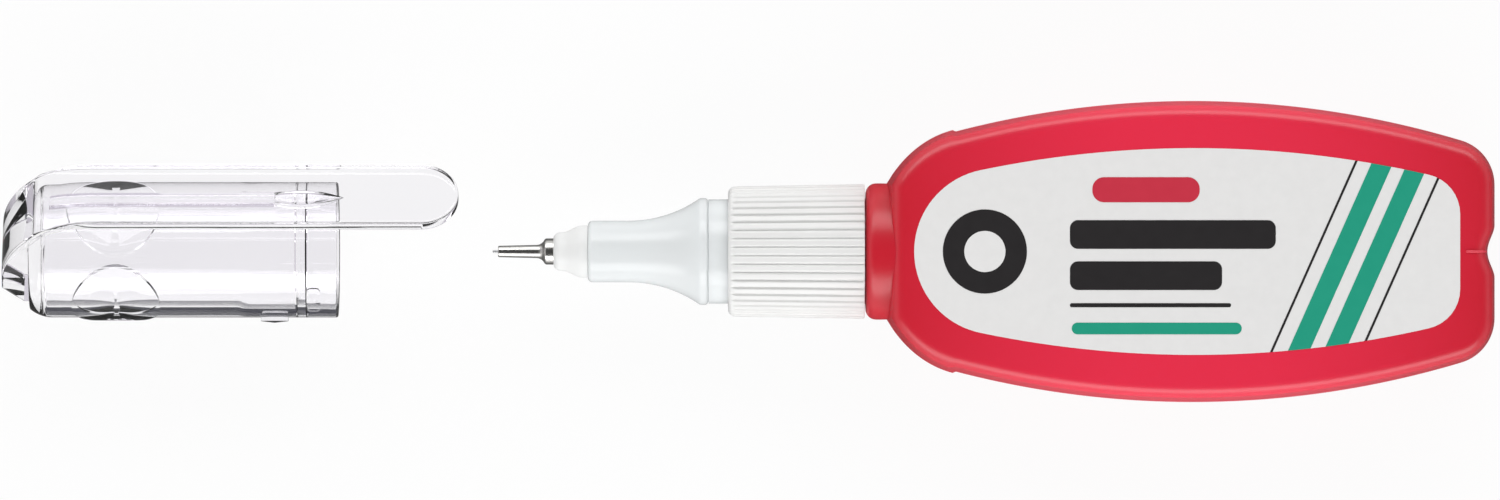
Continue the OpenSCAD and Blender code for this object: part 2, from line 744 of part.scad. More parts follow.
bottle();
label();
neck_gasket();
screw_collar();
nose_cone();
tip_holder();
metal_tip();
needle();
valve_plunger();
valve_spring();
spring_retainer();
mixing_ball();
cap();
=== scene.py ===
"""Looks of a squeeze correction pen that lies on its flat back with its clear cap taken off."""

import logging
import math
from collections.abc import Callable
from dataclasses import dataclass
from enum import Enum

import bmesh
import bpy
from mathutils import Matrix, Vector


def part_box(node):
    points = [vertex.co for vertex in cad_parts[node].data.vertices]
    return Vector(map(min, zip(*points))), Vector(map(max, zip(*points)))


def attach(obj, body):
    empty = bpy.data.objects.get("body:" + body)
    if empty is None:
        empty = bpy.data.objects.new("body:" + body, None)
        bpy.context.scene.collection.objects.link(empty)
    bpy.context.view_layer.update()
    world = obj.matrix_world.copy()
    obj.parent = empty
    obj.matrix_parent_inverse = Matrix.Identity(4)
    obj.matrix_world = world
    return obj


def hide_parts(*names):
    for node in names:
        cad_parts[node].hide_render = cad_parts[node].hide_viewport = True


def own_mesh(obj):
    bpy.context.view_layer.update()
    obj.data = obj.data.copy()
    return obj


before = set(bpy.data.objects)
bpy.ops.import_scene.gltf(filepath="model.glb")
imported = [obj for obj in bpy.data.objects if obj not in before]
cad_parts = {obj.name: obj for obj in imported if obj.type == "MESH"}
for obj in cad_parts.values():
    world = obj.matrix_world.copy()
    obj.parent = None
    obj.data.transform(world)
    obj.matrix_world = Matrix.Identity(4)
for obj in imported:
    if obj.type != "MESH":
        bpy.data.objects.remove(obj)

LOG = logging.getLogger("correction_pen")
MM = 0.001
FULL_TURN = 2 * math.pi

Colour = tuple[float, float, float]
Point = tuple[float, float]
Place = tuple[float, float, float]


class Body(Enum):
    """The rigid bodies that pieces ride on."""

    PEN = "pen"
    NEEDLE = "needle_unit"
    CAP = "cap"


def joined(operation: str, swapped: bool = False) -> Callable[..., "Value"]:
    """Make a method of Value that adds one Math node.

    Args:
        operation: The node's operation.
        swapped: Whether the other value comes first.

    Returns:
        The method.
    """

    def method(value: "Value", *others: "Value | float") -> "Value":
        """Add the node over the value and the others."""
        parts = (*others, value) if swapped else (value, *others)
        return value.tree.make("ShaderNodeMath", {"operation": operation}, dict(enumerate(parts)))

    return method


class Value:
    """A shader socket that takes part in Python expressions by adding Math nodes."""

    def __init__(self, tree: "ShaderTree", socket: bpy.types.NodeSocket) -> None:
        """Wrap an output socket of a tree."""
        self.tree = tree
        self.socket = socket

    __add__ = joined("ADD")
    __radd__ = joined("ADD", swapped=True)
    __sub__ = joined("SUBTRACT")
    __rsub__ = joined("SUBTRACT", swapped=True)
    __mul__ = joined("MULTIPLY")
    __rmul__ = joined("MULTIPLY", swapped=True)
    __truediv__ = joined("DIVIDE")
    __abs__ = joined("ABSOLUTE")
    larger = joined("MAXIMUM")
    smaller = joined("MINIMUM")
    wave = joined("SINE")


class ShaderTree:
    """The node tree of a material or world, with one method that makes every node."""

    def __init__(self, owner: bpy.types.Material | bpy.types.World) -> None:
        """Empty the owner's node tree."""
        self.owner = owner
        owner.use_nodes = True
        self.tree = owner.node_tree
        self.tree.nodes.clear()

    def node(self, kind: str, settings: dict, inputs: dict) -> bpy.types.Node:
        """Add a node.

        Args:
            kind: The node's type name.
            settings: Properties set first; "stops" fills a colour ramp.
            inputs: Values or links by socket name or number.

        Returns:
            The new node.
        """
        node = self.tree.nodes.new(kind)
        for key, setting in settings.items():
            if key == "stops":
                self._fill_ramp(node.color_ramp, setting)
            else:
                setattr(node, key, setting)
        for key, given in inputs.items():
            if isinstance(given, Value):
                self.tree.links.new(given.socket, node.inputs[key])
            else:
                node.inputs[key].default_value = given
        return node

    def make(self, kind: str, settings: dict, inputs: dict, output: int | str = 0) -> Value:
        """Add a node and wrap one of its outputs."""
        return Value(self, self.node(kind, settings, inputs).outputs[output])

    @staticmethod
    def _fill_ramp(ramp: bpy.types.ColorRamp, stops: list[tuple[float, float]]) -> None:
        """Set a colour ramp to greys.

        Args:
            ramp: The ramp.
            stops: Its stops as (place, brightness).
        """
        while len(ramp.elements) < len(stops):
            ramp.elements.new(1)
        for element, (place, grey) in zip(ramp.elements, stops):
            element.position = place
            element.color = (grey, grey, grey, 1)

    def place(self) -> Value:
        """Object coordinates, in metres."""
        return self.make("ShaderNodeTexCoord", {}, {}, "Object")

    def axes(self) -> tuple[Value, Value, Value]:
        """The X, Y and Z of the object coordinates, each as a value."""
        split = self.node("ShaderNodeSeparateXYZ", {}, {0: self.place()})
        return tuple(Value(self, socket) for socket in split.outputs)

    def noise(self, scale: float, detail: float = 2, stretch: Place = (1, 1, 1)) -> Value:
        """Grey noise over the object coordinates.

        Args:
            scale: Features per metre.
            detail: Octaves of finer noise.
            stretch: Scale along each axis.

        Returns:
            The noise, from 0 to 1.
        """
        mapped = self.make("ShaderNodeMapping", {}, {"Vector": self.place(), "Scale": stretch})
        inputs = {"Vector": mapped, "Scale": scale, "Detail": detail}
        return self.make("ShaderNodeTexNoise", {}, inputs, "Fac")

    def mix(self, factor: Value, low: Colour, high: Colour) -> Value:
        """Blend between two colours."""
        inputs = {"Factor": factor, 6: (*low, 1), 7: (*high, 1)}
        return self.make("ShaderNodeMix", {"data_type": "RGBA"}, inputs, 2)

    def blend(self, factor: Value, low: Value, high: Value) -> Value:
        """Blend between two shaders."""
        return self.make("ShaderNodeMixShader", {}, {0: factor, 1: low, 2: high})

    def ray(self, kind: str) -> Value:
        """One where a ray is of the named kind, else zero."""
        return self.make("ShaderNodeLightPath", {}, {}, kind)

    def bump(self, height: Value, depth: float, **more: Value) -> Value:
        """Surface relief from a height of 0 to 1 that stands for a depth in metres."""
        inputs = {"Height": height, "Distance": depth, "Strength": 1.0, **more}
        return self.make("ShaderNodeBump", {}, inputs, "Normal")

    def surface(self, **inputs: "Value | float | tuple") -> bpy.types.Material:
        """End the tree in a Principled shader.

        Args:
            **inputs: The shader's inputs, with _ for each space in a name.

        Returns:
            The finished material.
        """
        named = {key.replace("_", " "): given for key, given in inputs.items()}
        shader = self.make("ShaderNodeBsdfPrincipled", {}, named)
        self.node("ShaderNodeOutputMaterial", {}, {"Surface": shader})
        return self.owner


@dataclass(frozen=True)
class MouldedPlastic:
    """Opaque or milky moulded plastic with a faint grain."""

    name: str
    colour: Colour
    shade: Colour
    roughness: float = 0.3
    grain_pitch: float = 1.2 * MM
    grain_depth: float = 0.004 * MM
    milky: float = 0.0
    milky_depth: float = 1.0 * MM

    def material(self) -> bpy.types.Material:
        """Build the material: soft colour drift, gloss drift and grain."""
        tree = ShaderTree(bpy.data.materials.new(self.name))
        drift = tree.noise(1 / (20 * self.grain_pitch), 1)
        grain = tree.noise(1 / self.grain_pitch, 3)
        return tree.surface(
            Base_Color=tree.mix(drift, self.shade, self.colour),
            Roughness=self.roughness + 0.08 * (grain - 0.5),
            Normal=tree.bump(grain, self.grain_depth),
            Subsurface_Weight=self.milky,
            Subsurface_Radius=(1.0, 1.0, 1.0),
            Subsurface_Scale=self.milky_depth,
            IOR=1.5,
        )


@dataclass(frozen=True)
class BlownPlastic:
    """Red blow-moulded plastic with painted shade towards both ends and a parting line round its edge."""

    name: str
    colour: Colour
    shade: Colour
    parting_height: float
    middle: float
    half_length: float
    roughness: float = 0.31
    line_width: float = 0.12 * MM
    line_depth: float = 0.05 * MM
    skin_depth: float = 0.003 * MM

    def material(self) -> bpy.types.Material:
        """Build the material: red darkened by painted shade towards both ends, skin and parting line."""
        tree = ShaderTree(bpy.data.materials.new(self.name))
        along, _, height = tree.axes()
        from_middle = abs(along - self.middle) / self.half_length
        # Painted shade: the red runs from its colour in the middle to the darker shade at both ends, standing
        # in for less light there; the noise adds a random tone drift.
        painted_light_middle = 1 - from_middle * from_middle
        drift = (painted_light_middle + 0.3 * (tree.noise(28, 1, (1, 2, 1)) - 0.5)).larger(0).smaller(1)
        skin = tree.noise(700, 3)
        line = 1 - (abs(height - self.parting_height) / self.line_width).smaller(1)
        return tree.surface(
            Base_Color=tree.mix(drift, self.shade, self.colour),
            Roughness=self.roughness + 0.06 * (skin - 0.5),
            Normal=tree.bump(skin, self.skin_depth, Normal=tree.bump(line, self.line_depth)),
            Subsurface_Weight=0.12,
            Subsurface_Radius=(1.0, 0.15, 0.2),
            Subsurface_Scale=0.8 * MM,
            IOR=1.5,
        )


@dataclass(frozen=True)
class PrintedInk:
    """Ink or film on the label, with the fine mottle of a print."""

    name: str
    colour: Colour
    roughness: float = 0.5

    def material(self) -> bpy.types.Material:
        """Build the material: a flat colour with a faint mottle in tone and gloss."""
        tree = ShaderTree(bpy.data.materials.new(self.name))
        mottle = tree.noise(900, 2)
        darker = tuple(0.94 * part for part in self.colour)
        return tree.surface(
            Base_Color=tree.mix(mottle, darker, self.colour),
            Roughness=self.roughness + 0.1 * (mottle - 0.5),
            IOR=1.45,
        )


@dataclass(frozen=True)
class TurnedMetal:
    """Metal turned on a lathe round the pen's axis."""

    name: str
    colour: Colour
    roughness: float = 0.25
    turn_pitch: float = 0.06 * MM
    turn_depth: float = 0.0006 * MM

    def material(self) -> bpy.types.Material:
        """Build the material: fine turning rings along the axis and a drift in gloss."""
        tree = ShaderTree(bpy.data.materials.new(self.name))
        along, _, _ = tree.axes()
        rings = (along * (FULL_TURN / self.turn_pitch)).wave() * 0.5 + 0.5
        drift = tree.noise(1500, 2, (3, 1, 1))
        darker = tuple(0.82 * part for part in self.colour)
        return tree.surface(
            Base_Color=tree.mix(drift, darker, self.colour),
            Metallic=1.0,
            Roughness=self.roughness + 0.08 * (drift - 0.5),
            Normal=tree.bump(rings, self.turn_depth),
        )


@dataclass(frozen=True)
class ClearPlastic:
    """Clear moulded plastic with a faint violet tint."""

    name: str
    tint: Colour
    pale: Colour
    index: float = 1.49

    def material(self) -> bpy.types.Material:
        """Build the material: full transmission with a barely uneven polish."""
        tree = ShaderTree(bpy.data.materials.new(self.name))
        flow = tree.noise(160, 2, (0.4, 1, 1))
        return tree.surface(
            Base_Color=tree.mix(flow, self.tint, self.pale),
            Roughness=0.012 + 0.012 * flow,
            Normal=tree.bump(flow, 0.006 * MM),
            Transmission_Weight=1.0,
            IOR=self.index,
        )


class Shape:
    """A mesh under construction, in metres in the frame."""

    def __init__(self, data: bpy.types.Mesh | None = None) -> None:
        """Start empty, or with a copy of a finished mesh."""
        self.mesh = bmesh.new()
        if data:
            self.mesh.from_mesh(data)

    def turn(self, profile: list[Point], axis_height: float, steps: int, closed: bool = True) -> "Shape":
        """Spin a profile round the pen's axis.

        Args:
            profile: Points of (x, radius).
            axis_height: Height of the axis above the floor.
            steps: Facets round the axis.
            closed: Whether the last point joins the first.

        Returns:
            This shape.
        """
        rail = [self.mesh.verts.new((x, 0, axis_height + radius)) for x, radius in profile]
        pairs = list(zip(rail, rail[1:])) + ([(rail[-1], rail[0])] if closed else [])
        geometry = rail + [self.mesh.edges.new(pair) for pair in pairs]
        centre, axis = (0, 0, axis_height), (1, 0, 0)
        bmesh.ops.spin(
            self.mesh, geom=geometry, cent=centre, axis=axis, angle=FULL_TURN, steps=steps, use_merge=True
        )
        return self

    def face(self, points: list[Place]) -> bmesh.types.BMFace:
        """Add one flat face through the given points."""
        return self.mesh.faces.new([self.mesh.verts.new(point) for point in points])

    def extrude(self, step: Place, keep: bool = True) -> list[bmesh.types.BMVert]:
        """Extrude all faces.

        Args:
            step: How far the new faces move.
            keep: Whether the old faces stay, to close the form.

        Returns:
            The new vertices.
        """
        grown = bmesh.ops.extrude_face_region(self.mesh, geom=self.mesh.faces[:], use_keep_orig=keep)["geom"]
        moved = [part for part in grown if isinstance(part, bmesh.types.BMVert)]
        bmesh.ops.translate(self.mesh, verts=moved, vec=step)
        return moved

    def inset(self, face: bmesh.types.BMFace, inwards: float, up: float) -> None:
        """Shrink a face by one distance and raise it by another."""
        bmesh.ops.inset_region(
            self.mesh, faces=[face], thickness=inwards, depth=up, use_even_offset=True, use_boundary=True
        )

    def clean(self) -> None:
        """Merge doubles, drop slivers and point every face outwards."""
        bmesh.ops.remove_doubles(self.mesh, verts=self.mesh.verts, dist=0.0005 * MM)
        bmesh.ops.dissolve_degenerate(self.mesh, edges=self.mesh.edges, dist=0.0005 * MM)
        bmesh.ops.recalc_face_normals(self.mesh, faces=self.mesh.faces)

    def close_slits(self, width: float = 0.06 * MM) -> None:
        """Weld the hairline slits that joining parts can leave in a closed form."""
        beside = [vert for vert in self.mesh.verts if vert.is_boundary]
        bmesh.ops.remove_doubles(self.mesh, verts=beside, dist=width)

    def soften(self, width: float, angle: float = 30, segments: int = 3) -> None:
        """Round every edge that is sharper than an angle.

        Args:
            width: Width of the rounding, in metres.
            angle: Angle in degrees.
            segments: Facets across the rounding.
        """
        self.clean()
        limit = math.radians(angle)
        sharp = [e for e in self.mesh.edges if len(e.link_faces) == 2 and e.calc_face_angle() > limit]
        bmesh.ops.bevel(
            self.mesh,
            geom=sharp,
            offset=width,
            offset_type="OFFSET",
            affect="EDGES",
            segments=segments,
            profile=0.5,
            material=-1,
            clamp_overlap=True,
        )

    def piece(self, name: str, smooth_angle: float = 32) -> bpy.types.Object:
        """Finish the mesh as a linked, smoothly shaded object.

        Args:
            name: The object's name.
            smooth_angle: Edges sharper than this, in degrees, stay sharp.

        Returns:
            The new object.
        """
        self.clean()
        data = bpy.data.meshes.new(name)
        self.mesh.to_mesh(data)
        self.mesh.free()
        data.shade_smooth()
        data.set_sharp_from_angle(angle=math.radians(smooth_angle))
        item = bpy.data.objects.new(name, data)
        bpy.context.scene.collection.objects.link(item)
        return item


def arc(centre: Point, radius: float, start: float, end: float, steps: int) -> list[Point]:
    """Points on a circular arc.

    Args:
        centre: The arc's centre.
        radius: The arc's radius.
        start: First angle in degrees.
        end: Last angle in degrees.
        steps: Number of chords.

    Returns:
        The points from start to end.
    """
    angles = [math.radians(start + (end - start) * i / steps) for i in range(steps + 1)]
    return [(centre[0] + radius * math.cos(a), centre[1] + radius * math.sin(a)) for a in angles]


def flared(start: Point, end: Point, corner: float, steps: int) -> list[Point]:
    """Points of a level line that flares out through a hollow arc and levels off again.

    Args:
        start: Where the hollow arc begins.
        end: Where the flare is level again.
        corner: Radius of the rounded corner that ends it.
        steps: Parts of the hollow arc.

    Returns:
        The points from start to end.
    """
    length, rise = end[0] - start[0], end[1] - start[1]
    steepest = 2 * math.atan2(rise, length)
    hollow = length / math.sin(steepest) - corner
    degrees = math.degrees(steepest)
    points = arc((start[0], start[1] + hollow), hollow, -90, degrees - 90, steps)
    return points + arc((end[0], end[1] - corner), corner, 90 + degrees, 90, 8)[1:]


def ease(share: float) -> float:
    """Smooth step from 0 to 1."""
    return (1 - math.cos(math.pi * min(max(share, 0), 1))) / 2


def dress(item: bpy.types.Object, finish: object) -> None:
    """Give an object a finish as its only material."""
    item.data.materials.clear()
    item.data.materials.append(finish.material())


def seat(item: bpy.types.Object, finish: object, body: Body, replaces: str = "") -> None:
    """Dress a piece and fasten it to its body.

    Args:
        item: The piece.
        finish: Its finish.
        body: The body that it rides on.
        replaces: The CAD node that it stands for, if any.
    """
    dress(item, finish)
    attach(item, body.value)
    if replaces:
        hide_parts(replaces)
    LOG.info("%s: %d faces", item.name, len(item.data.polygons))


def apply_boolean(item: bpy.types.Object, other: bpy.types.Object, operation: str) -> None:
    """Join, cut or cross a piece with another one and remove the other.

    Args:
        item: The piece that is changed.
        other: The tool, which is deleted.
        operation: UNION, DIFFERENCE or INTERSECT.
    """
    for mesh in (item.data, other.data):
        mesh.transform(Matrix.Scale(1 / MM, 4))
    modifier = item.modifiers.new("join", "BOOLEAN")
    modifier.operation = operation
    modifier.solver = "EXACT"
    modifier.object = other
    bpy.context.view_layer.update()
    shown = item.evaluated_get(bpy.context.evaluated_depsgraph_get())
    result = bpy.data.meshes.new_from_object(shown)
    item.modifiers.clear()
    result.transform(Matrix.Scale(MM, 4))
    old = item.data
    item.data = result
    bpy.data.meshes.remove(old)
    bpy.data.objects.remove(other)


@dataclass
class Pen:
    """Places along the pen's axis that the other classes share, read from the frame."""

    def __post_init__(self) -> None:
        """Read the boxes of the nodes that set the stations."""
        low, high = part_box("bottle")
        self.axis_height = (low.z + high.z) / 2
        self.top = high.z
        self.bottle_width = high.y - low.y
        self.rear_x = high.x
        self.collar_front_x, self.collar_rear_x = (corner.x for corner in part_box("screw_collar"))
        self.nose_front_x, self.nose_rear_x = (corner.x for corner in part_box("nose_cone"))
        self.holder_front_x, self.holder_rear_x = (corner.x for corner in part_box("tip_holder"))
        self.tube_mouth_x, self.tube_rear_x = (corner.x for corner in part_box("metal_tip"))
        self.needle_front_x, self.needle_rear_x = (corner.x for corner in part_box("needle"))


@dataclass
class SqueezeBottle:
    """The flat red bottle with its rim, ledged shoulder, boss, neck and pinch-off notch."""

    pen: Pen
    body_length: float = 68.2 * MM
    widest_at: float = 34.3 * MM
    side_radius: float = 105 * MM
    shoulder_length: float = 7.5 * MM
    shoulder_angle: float = 60
    corner_radius: float = 5.2 * MM
    draft: float = 0.5 * MM
    rim_radius: float = 1.5 * MM
    rim_ring: float = 0.3 * MM
    boss_radius: float = 7.65 * MM
    boss_length: float = 2.4 * MM
    boss_edge: float = 1.2 * MM
    boss_inside: float = 2.6 * MM
    crown_at: float = 0.9 * MM
    crown_curve: float = 0.022 / MM
    neck_radius: float = 5.95 * MM
    neck_bore_radius: float = 4.7 * MM
    neck_gap: float = 0.8 * MM
    threads: int = 3
    thread_start: float = 1.5 * MM
    thread_pitch: float = 2.4 * MM
    thread_depth: float = 0.45 * MM
    thread_slope: float = 0.4 * MM
    ledge: float = 0.25 * MM
    ledge_run: float = 0.25 * MM
    notch_depth: float = 0.8 * MM
    notch_width: float = 5.7 * MM
    notch_reach: float = 3 * MM
    seam_radius: float = 0.14 * MM
    seam_lead: float = 0.7 * MM
    label_clearance: float = 0.02 * MM

    def __post_init__(self) -> None:
        """Work out where the flat body starts."""
        self.front_x = self.pen.rear_x - self.body_length

    def side(self, x: float) -> float:
        """Half width of the long side arc at a distance from the body's front."""
        centre = self.pen.bottle_width / 2 - self.side_radius
        return centre + math.sqrt(self.side_radius**2 - (x - self.widest_at) ** 2)

    def shoulder(self, steps: int = 24) -> list[Point]:
        """Curve from the boss to the side arc, drawn by its tangents' meeting point.

        Args:
            steps: Parts of the curve; the first three are taken as one.

        Returns:
            Points of (distance from the body's front, half width).
        """
        from_widest = self.widest_at - self.shoulder_length
        slope = from_widest / math.sqrt(self.side_radius**2 - from_widest**2)
        rise = math.tan(math.radians(self.shoulder_angle))
        start = (0.0, self.boss_radius)
        end = (self.shoulder_length, self.side(self.shoulder_length))
        bend_x = (end[1] - self.boss_radius - slope * end[0]) / (rise - slope)
        bend = (bend_x, self.boss_radius + rise * bend_x)
        points = []
        for t in [0, *(i / steps for i in range(3, steps + 1))]:
            weights = ((1 - t) ** 2, 2 * t * (1 - t), t * t)
            points.append(tuple(sum(w * p[k] for w, p in zip(weights, (start, bend, end))) for k in (0, 1)))
        return points

    def half_outline(self) -> list[Point]:
        """Outline from the boss to the middle of the rear end, on the +Y side."""
        side_centre = (self.widest_at, self.pen.bottle_width / 2 - self.side_radius)
        corner_x = self.body_length - self.corner_radius
        reach = self.side_radius - self.corner_radius
        corner_y = side_centre[1] + math.sqrt(reach**2 - (corner_x - self.widest_at) ** 2)
        touch = math.degrees(math.atan2(corner_y - side_centre[1], corner_x - self.widest_at))
        beyond_ledge = self.shoulder_length + self.ledge_run
        beside = math.degrees(math.acos((beyond_ledge - self.widest_at) / self.side_radius))
        rear_reach = 0.7 * self.notch_width
        return (
            self.shoulder()
            + arc(side_centre, self.side_radius, beside, touch, 48)[:-1]
            + arc((corner_x, corner_y), self.corner_radius, touch, 0, 16)
            + [(self.body_length, rear_reach * (1 - i / 16)) for i in range(17)]
        )

    def body(self) -> Shape:
        """Flattened body: draft, rim and flat face grown from its outline, then mirrored."""
        shape = Shape()
        half = self.half_outline()
        outline = half + [(x, -y) for x, y in reversed(half[:-1])]
        middle = shape.face([(self.front_x + x, y, self.pen.axis_height) for x, y in outline])
        middle.normal_update()
        if middle.normal.z < 0:
            middle.normal_flip()
        half_height = self.pen.top - self.pen.axis_height - self.label_clearance
        shape.inset(middle, self.draft, half_height - self.rim_radius)
        rim = arc((self.rim_radius, 0), self.rim_radius, 180, 90, 10)
        for (outer, low), (inner, high) in zip(rim, rim[1:]):
            shape.inset(middle, inner - outer, high - low)
        shape.inset(middle, self.rim_ring, 0)
        self._raise_shoulder(shape)
        self._press_notch(shape)
        bmesh.ops.mirror(
            shape.mesh,
            geom=shape.mesh.verts[:] + shape.mesh.edges[:] + shape.mesh.faces[:],
            matrix=Matrix.Translation((0, 0, -self.pen.axis_height)),
            merge_dist=0.001 * MM,
            axis="Z",
        )
        return shape

    def _raise_shoulder(self, shape: Shape) -> None:
        """Fill out the side wall in front of the ledge, fading over the rim to nothing.

        Args:
            shape: The upper half of the body.
        """
        rim_start = self.pen.top - self.rim_radius
        slant = math.radians(self.shoulder_angle)
        for vert in shape.mesh.verts:
            along = (vert.co.x - self.front_x) / self.shoulder_length
            if along > 1.01 or abs(vert.co.y) < self.boss_radius:
                continue
            fade = 1 - ease((vert.co.z - rim_start) / self.rim_radius)
            side = math.copysign(1, vert.co.y)
            push = self.ledge * ease(along) * fade
            vert.co += push * Vector((-math.cos(slant), side * math.sin(slant), 0))

    def _press_notch(self, shape: Shape) -> None:
        """Press the pinch-off notch into the middle of the rear end.

        Args:
            shape: The upper half of the body.
        """
        for vert in shape.mesh.verts:
            across = abs(vert.co.y) / (self.notch_width / 2)
            if across < 1 and self.pen.rear_x - vert.co.x < self.notch_reach:
                vert.co.x -= self.notch_depth * ease(1 - across) ** 0.8

    def boss_and_neck(self, shape: Shape) -> None:
        """Add the round boss, crowned along its top, and the neck with its thread rings.

        Args:
            shape: The shape to add to.
        """
        boss_x = self.front_x - self.boss_length
        inside_x = self.front_x + self.boss_inside
        neck_x = self.pen.nose_rear_x + self.neck_gap
        crest = self.neck_radius + self.thread_depth
        boss = [(inside_x, self.neck_bore_radius), (neck_x, self.neck_bore_radius)]
        boss += [(neck_x, self.neck_radius)]
        for ring in range(self.threads):
            start = neck_x + self.thread_start + self.thread_pitch * ring
            radii = (self.neck_radius, crest, crest, self.neck_radius)
            boss += [(start + self.thread_slope * i, radius) for i, radius in enumerate(radii)]
        boss += [(boss_x, self.neck_radius)]
        top_x = boss_x + self.boss_edge
        boss += arc((top_x, self.boss_radius - self.boss_edge), self.boss_edge, 180, 104, 10)
        for i in range(13):
            x = top_x + (inside_x - top_x) * i / 12
            from_crown = x - (self.front_x - self.crown_at)
            boss += [(x, self.boss_radius - self.crown_curve * from_crown**2)]
        shape.turn(boss, self.pen.axis_height, 128)

    def seam(self) -> Shape:
        """Short raised seam over the rear rim, left where the blown tube was pinched off."""
        shape = Shape()
        centre_x = self.pen.rear_x - self.notch_depth - self.draft - self.rim_radius
        centre_z = self.pen.top - self.label_clearance - self.rim_radius
        start = Matrix.Translation((centre_x - self.seam_lead, 0, centre_z + self.rim_radius))
        upright = start @ Matrix.Rotation(math.pi / 2, 4, "Y")
        bmesh.ops.create_circle(
            shape.mesh, cap_ends=True, segments=12, radius=self.seam_radius, matrix=upright
        )
        moved = shape.extrude((self.seam_lead, 0, 0), keep=False)
        end = [face for face in shape.mesh.faces if all(vert in moved for vert in face.verts)]
        bmesh.ops.spin(
            shape.mesh,
            geom=end + [edge for face in end for edge in face.edges] + moved,
            cent=(centre_x, 0, centre_z),
            axis=(0, 1, 0),
            angle=math.radians(80),
            steps=10,
        )
        return shape

    def build(self) -> None:
        """Make, dress and seat the bottle and its seam."""
        half = self.body_length / 2
        # The second red is the painted shade at both ends of the body.
        colours = ((0.765, 0.024, 0.064), (0.55, 0.011, 0.026))
        red = BlownPlastic("bottle_red", *colours, self.pen.axis_height, self.pen.rear_x - half, half)
        shape = self.body()
        self.boss_and_neck(shape)
        seat(shape.piece("bottle_shell"), red, Body.PEN, "bottle")
        seam_red = MouldedPlastic("seam_red", (0.72, 0.05, 0.08), (0.66, 0.03, 0.06))
        seat(self.seam().piece("rear_seam"), seam_red, Body.PEN)


@dataclass
class PrintedLabel:
    """The off-white label and the generic printed fields on it.

    The fields are placed from the label's middle and measured in millimetres.
    """

    pen: Pen
    lift: float = 0.012 * MM
    thickness: float = 0.01 * MM
    film_colour: Colour = (0.76, 0.755, 0.75)
    stripe_slant: float = -24
    stripe_length: float = 34
    ring_at: Point = (-22.6, 0)

    def __post_init__(self) -> None:
        """Read the label's box from the frame."""
        low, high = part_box("label")
        self.middle_x = (low.x + high.x) / 2
        self.top = high.z

    def bar(self, shape: Shape, middle: Point, size: Point, corner: float, slant: float = 0) -> None:
        """Add one rounded bar.

        Args:
            shape: The shape to add to.
            middle: Its centre.
            size: Length and height.
            corner: Corner radius.
            slant: Turn of the bar, in degrees.
        """
        turn = Matrix.Rotation(math.radians(slant), 2)
        reach = Vector([(side / 2 - corner) * MM for side in size])
        outline = []
        for along, across, start in ((1, 1, 0), (-1, 1, 90), (-1, -1, 180), (1, -1, 270)):
            centre = (along * reach.x, across * reach.y)
            outline += arc(centre, corner * MM, start, start + 90, 8 if corner else 1)
        centre = Vector([place * MM for place in middle])
        points = [turn @ Vector(point) + centre for point in outline]
        face = shape.face([(self.middle_x + p.x, p.y, self.top + self.lift) for p in points])
        bmesh.ops.remove_doubles(shape.mesh, verts=list(face.verts), dist=0.001 * MM)

    def stripes(self, shape: Shape, places: tuple[float, ...], width: float) -> None:
        """Add slanted stripes right across the label.

        Args:
            shape: The shape to add to.
            places: Where the stripes cross the label's middle line.
            width: Width of each stripe.
        """
        for x in places:
            self.bar(shape, (x, 0), (width, self.stripe_length), 0, self.stripe_slant)

    def disc(self, shape: Shape, middle: Point, radius: float) -> None:
        """Add one round field.

        Args:
            shape: The shape to add to.
            middle: Its centre.
            radius: Its radius.
        """
        place = (self.middle_x + middle[0] * MM, middle[1] * MM, self.top + self.lift)
        bmesh.ops.create_circle(
            shape.mesh, cap_ends=True, segments=72, radius=radius * MM, matrix=Matrix.Translation(place)
        )

    def clip(self, item: bpy.types.Object) -> None:
        """Cut a printed piece off at the label's edge.

        Args:
            item: The printed piece.
        """
        shape = Shape(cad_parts["label"].data)
        shape.clean()
        for vert in shape.mesh.verts:
            vert.co.z = self.top + (1 if vert.co.z > self.top - 0.05 * MM else -1) * MM
        apply_boolean(item, shape.piece("label_cutter"), "INTERSECT")

    def finish_fields(self, shape: Shape, name: str, ink: PrintedInk) -> None:
        """Thicken, clip, dress and seat one colour of print.

        Args:
            shape: Its fields, still flat.
            name: The piece's name.
            ink: Its finish.
        """
        shape.extrude((0, 0, self.thickness), keep=False)
        item = shape.piece(name)
        self.clip(item)
        item.data.shade_flat()
        seat(item, ink, Body.PEN)

    def build(self) -> None:
        """Make the film and its fields: stripes, bars, a rule and a ring."""
        dress(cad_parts["label"], PrintedInk("label_film", self.film_colour, 0.46))
        green = Shape()
        self.stripes(green, (17.4, 21.4), 2.2)
        self.bar(green, (-3.4, -8.6), (19, 1.3), 0.65)
        self.finish_fields(green, "print_green", PrintedInk("ink_green", (0.006, 0.31, 0.20)))
        black = Shape()
        self.bar(black, (-1.6, 1.9), (23, 3.2), 0.9)
        self.bar(black, (-4.6, -2.7), (17, 3.2), 0.9)
        self.bar(black, (-4.1, -6.0), (18, 0.45), 0.2)
        self.disc(black, self.ring_at, 4.7)
        self.stripes(black, (14.4, 24.4), 0.26)
        self.finish_fields(black, "print_black", PrintedInk("ink_black", (0.012, 0.010, 0.011)))
        red = Shape()
        self.bar(red, (-4.6, 6.9), (12, 2.8), 1.3)
        self.finish_fields(red, "print_red", PrintedInk("ink_red", (0.55, 0.022, 0.05)))
        self.lift += self.thickness
        white = Shape()
        self.disc(white, self.ring_at, 2.3)
        self.finish_fields(white, "print_white", PrintedInk("ink_white", self.film_colour))


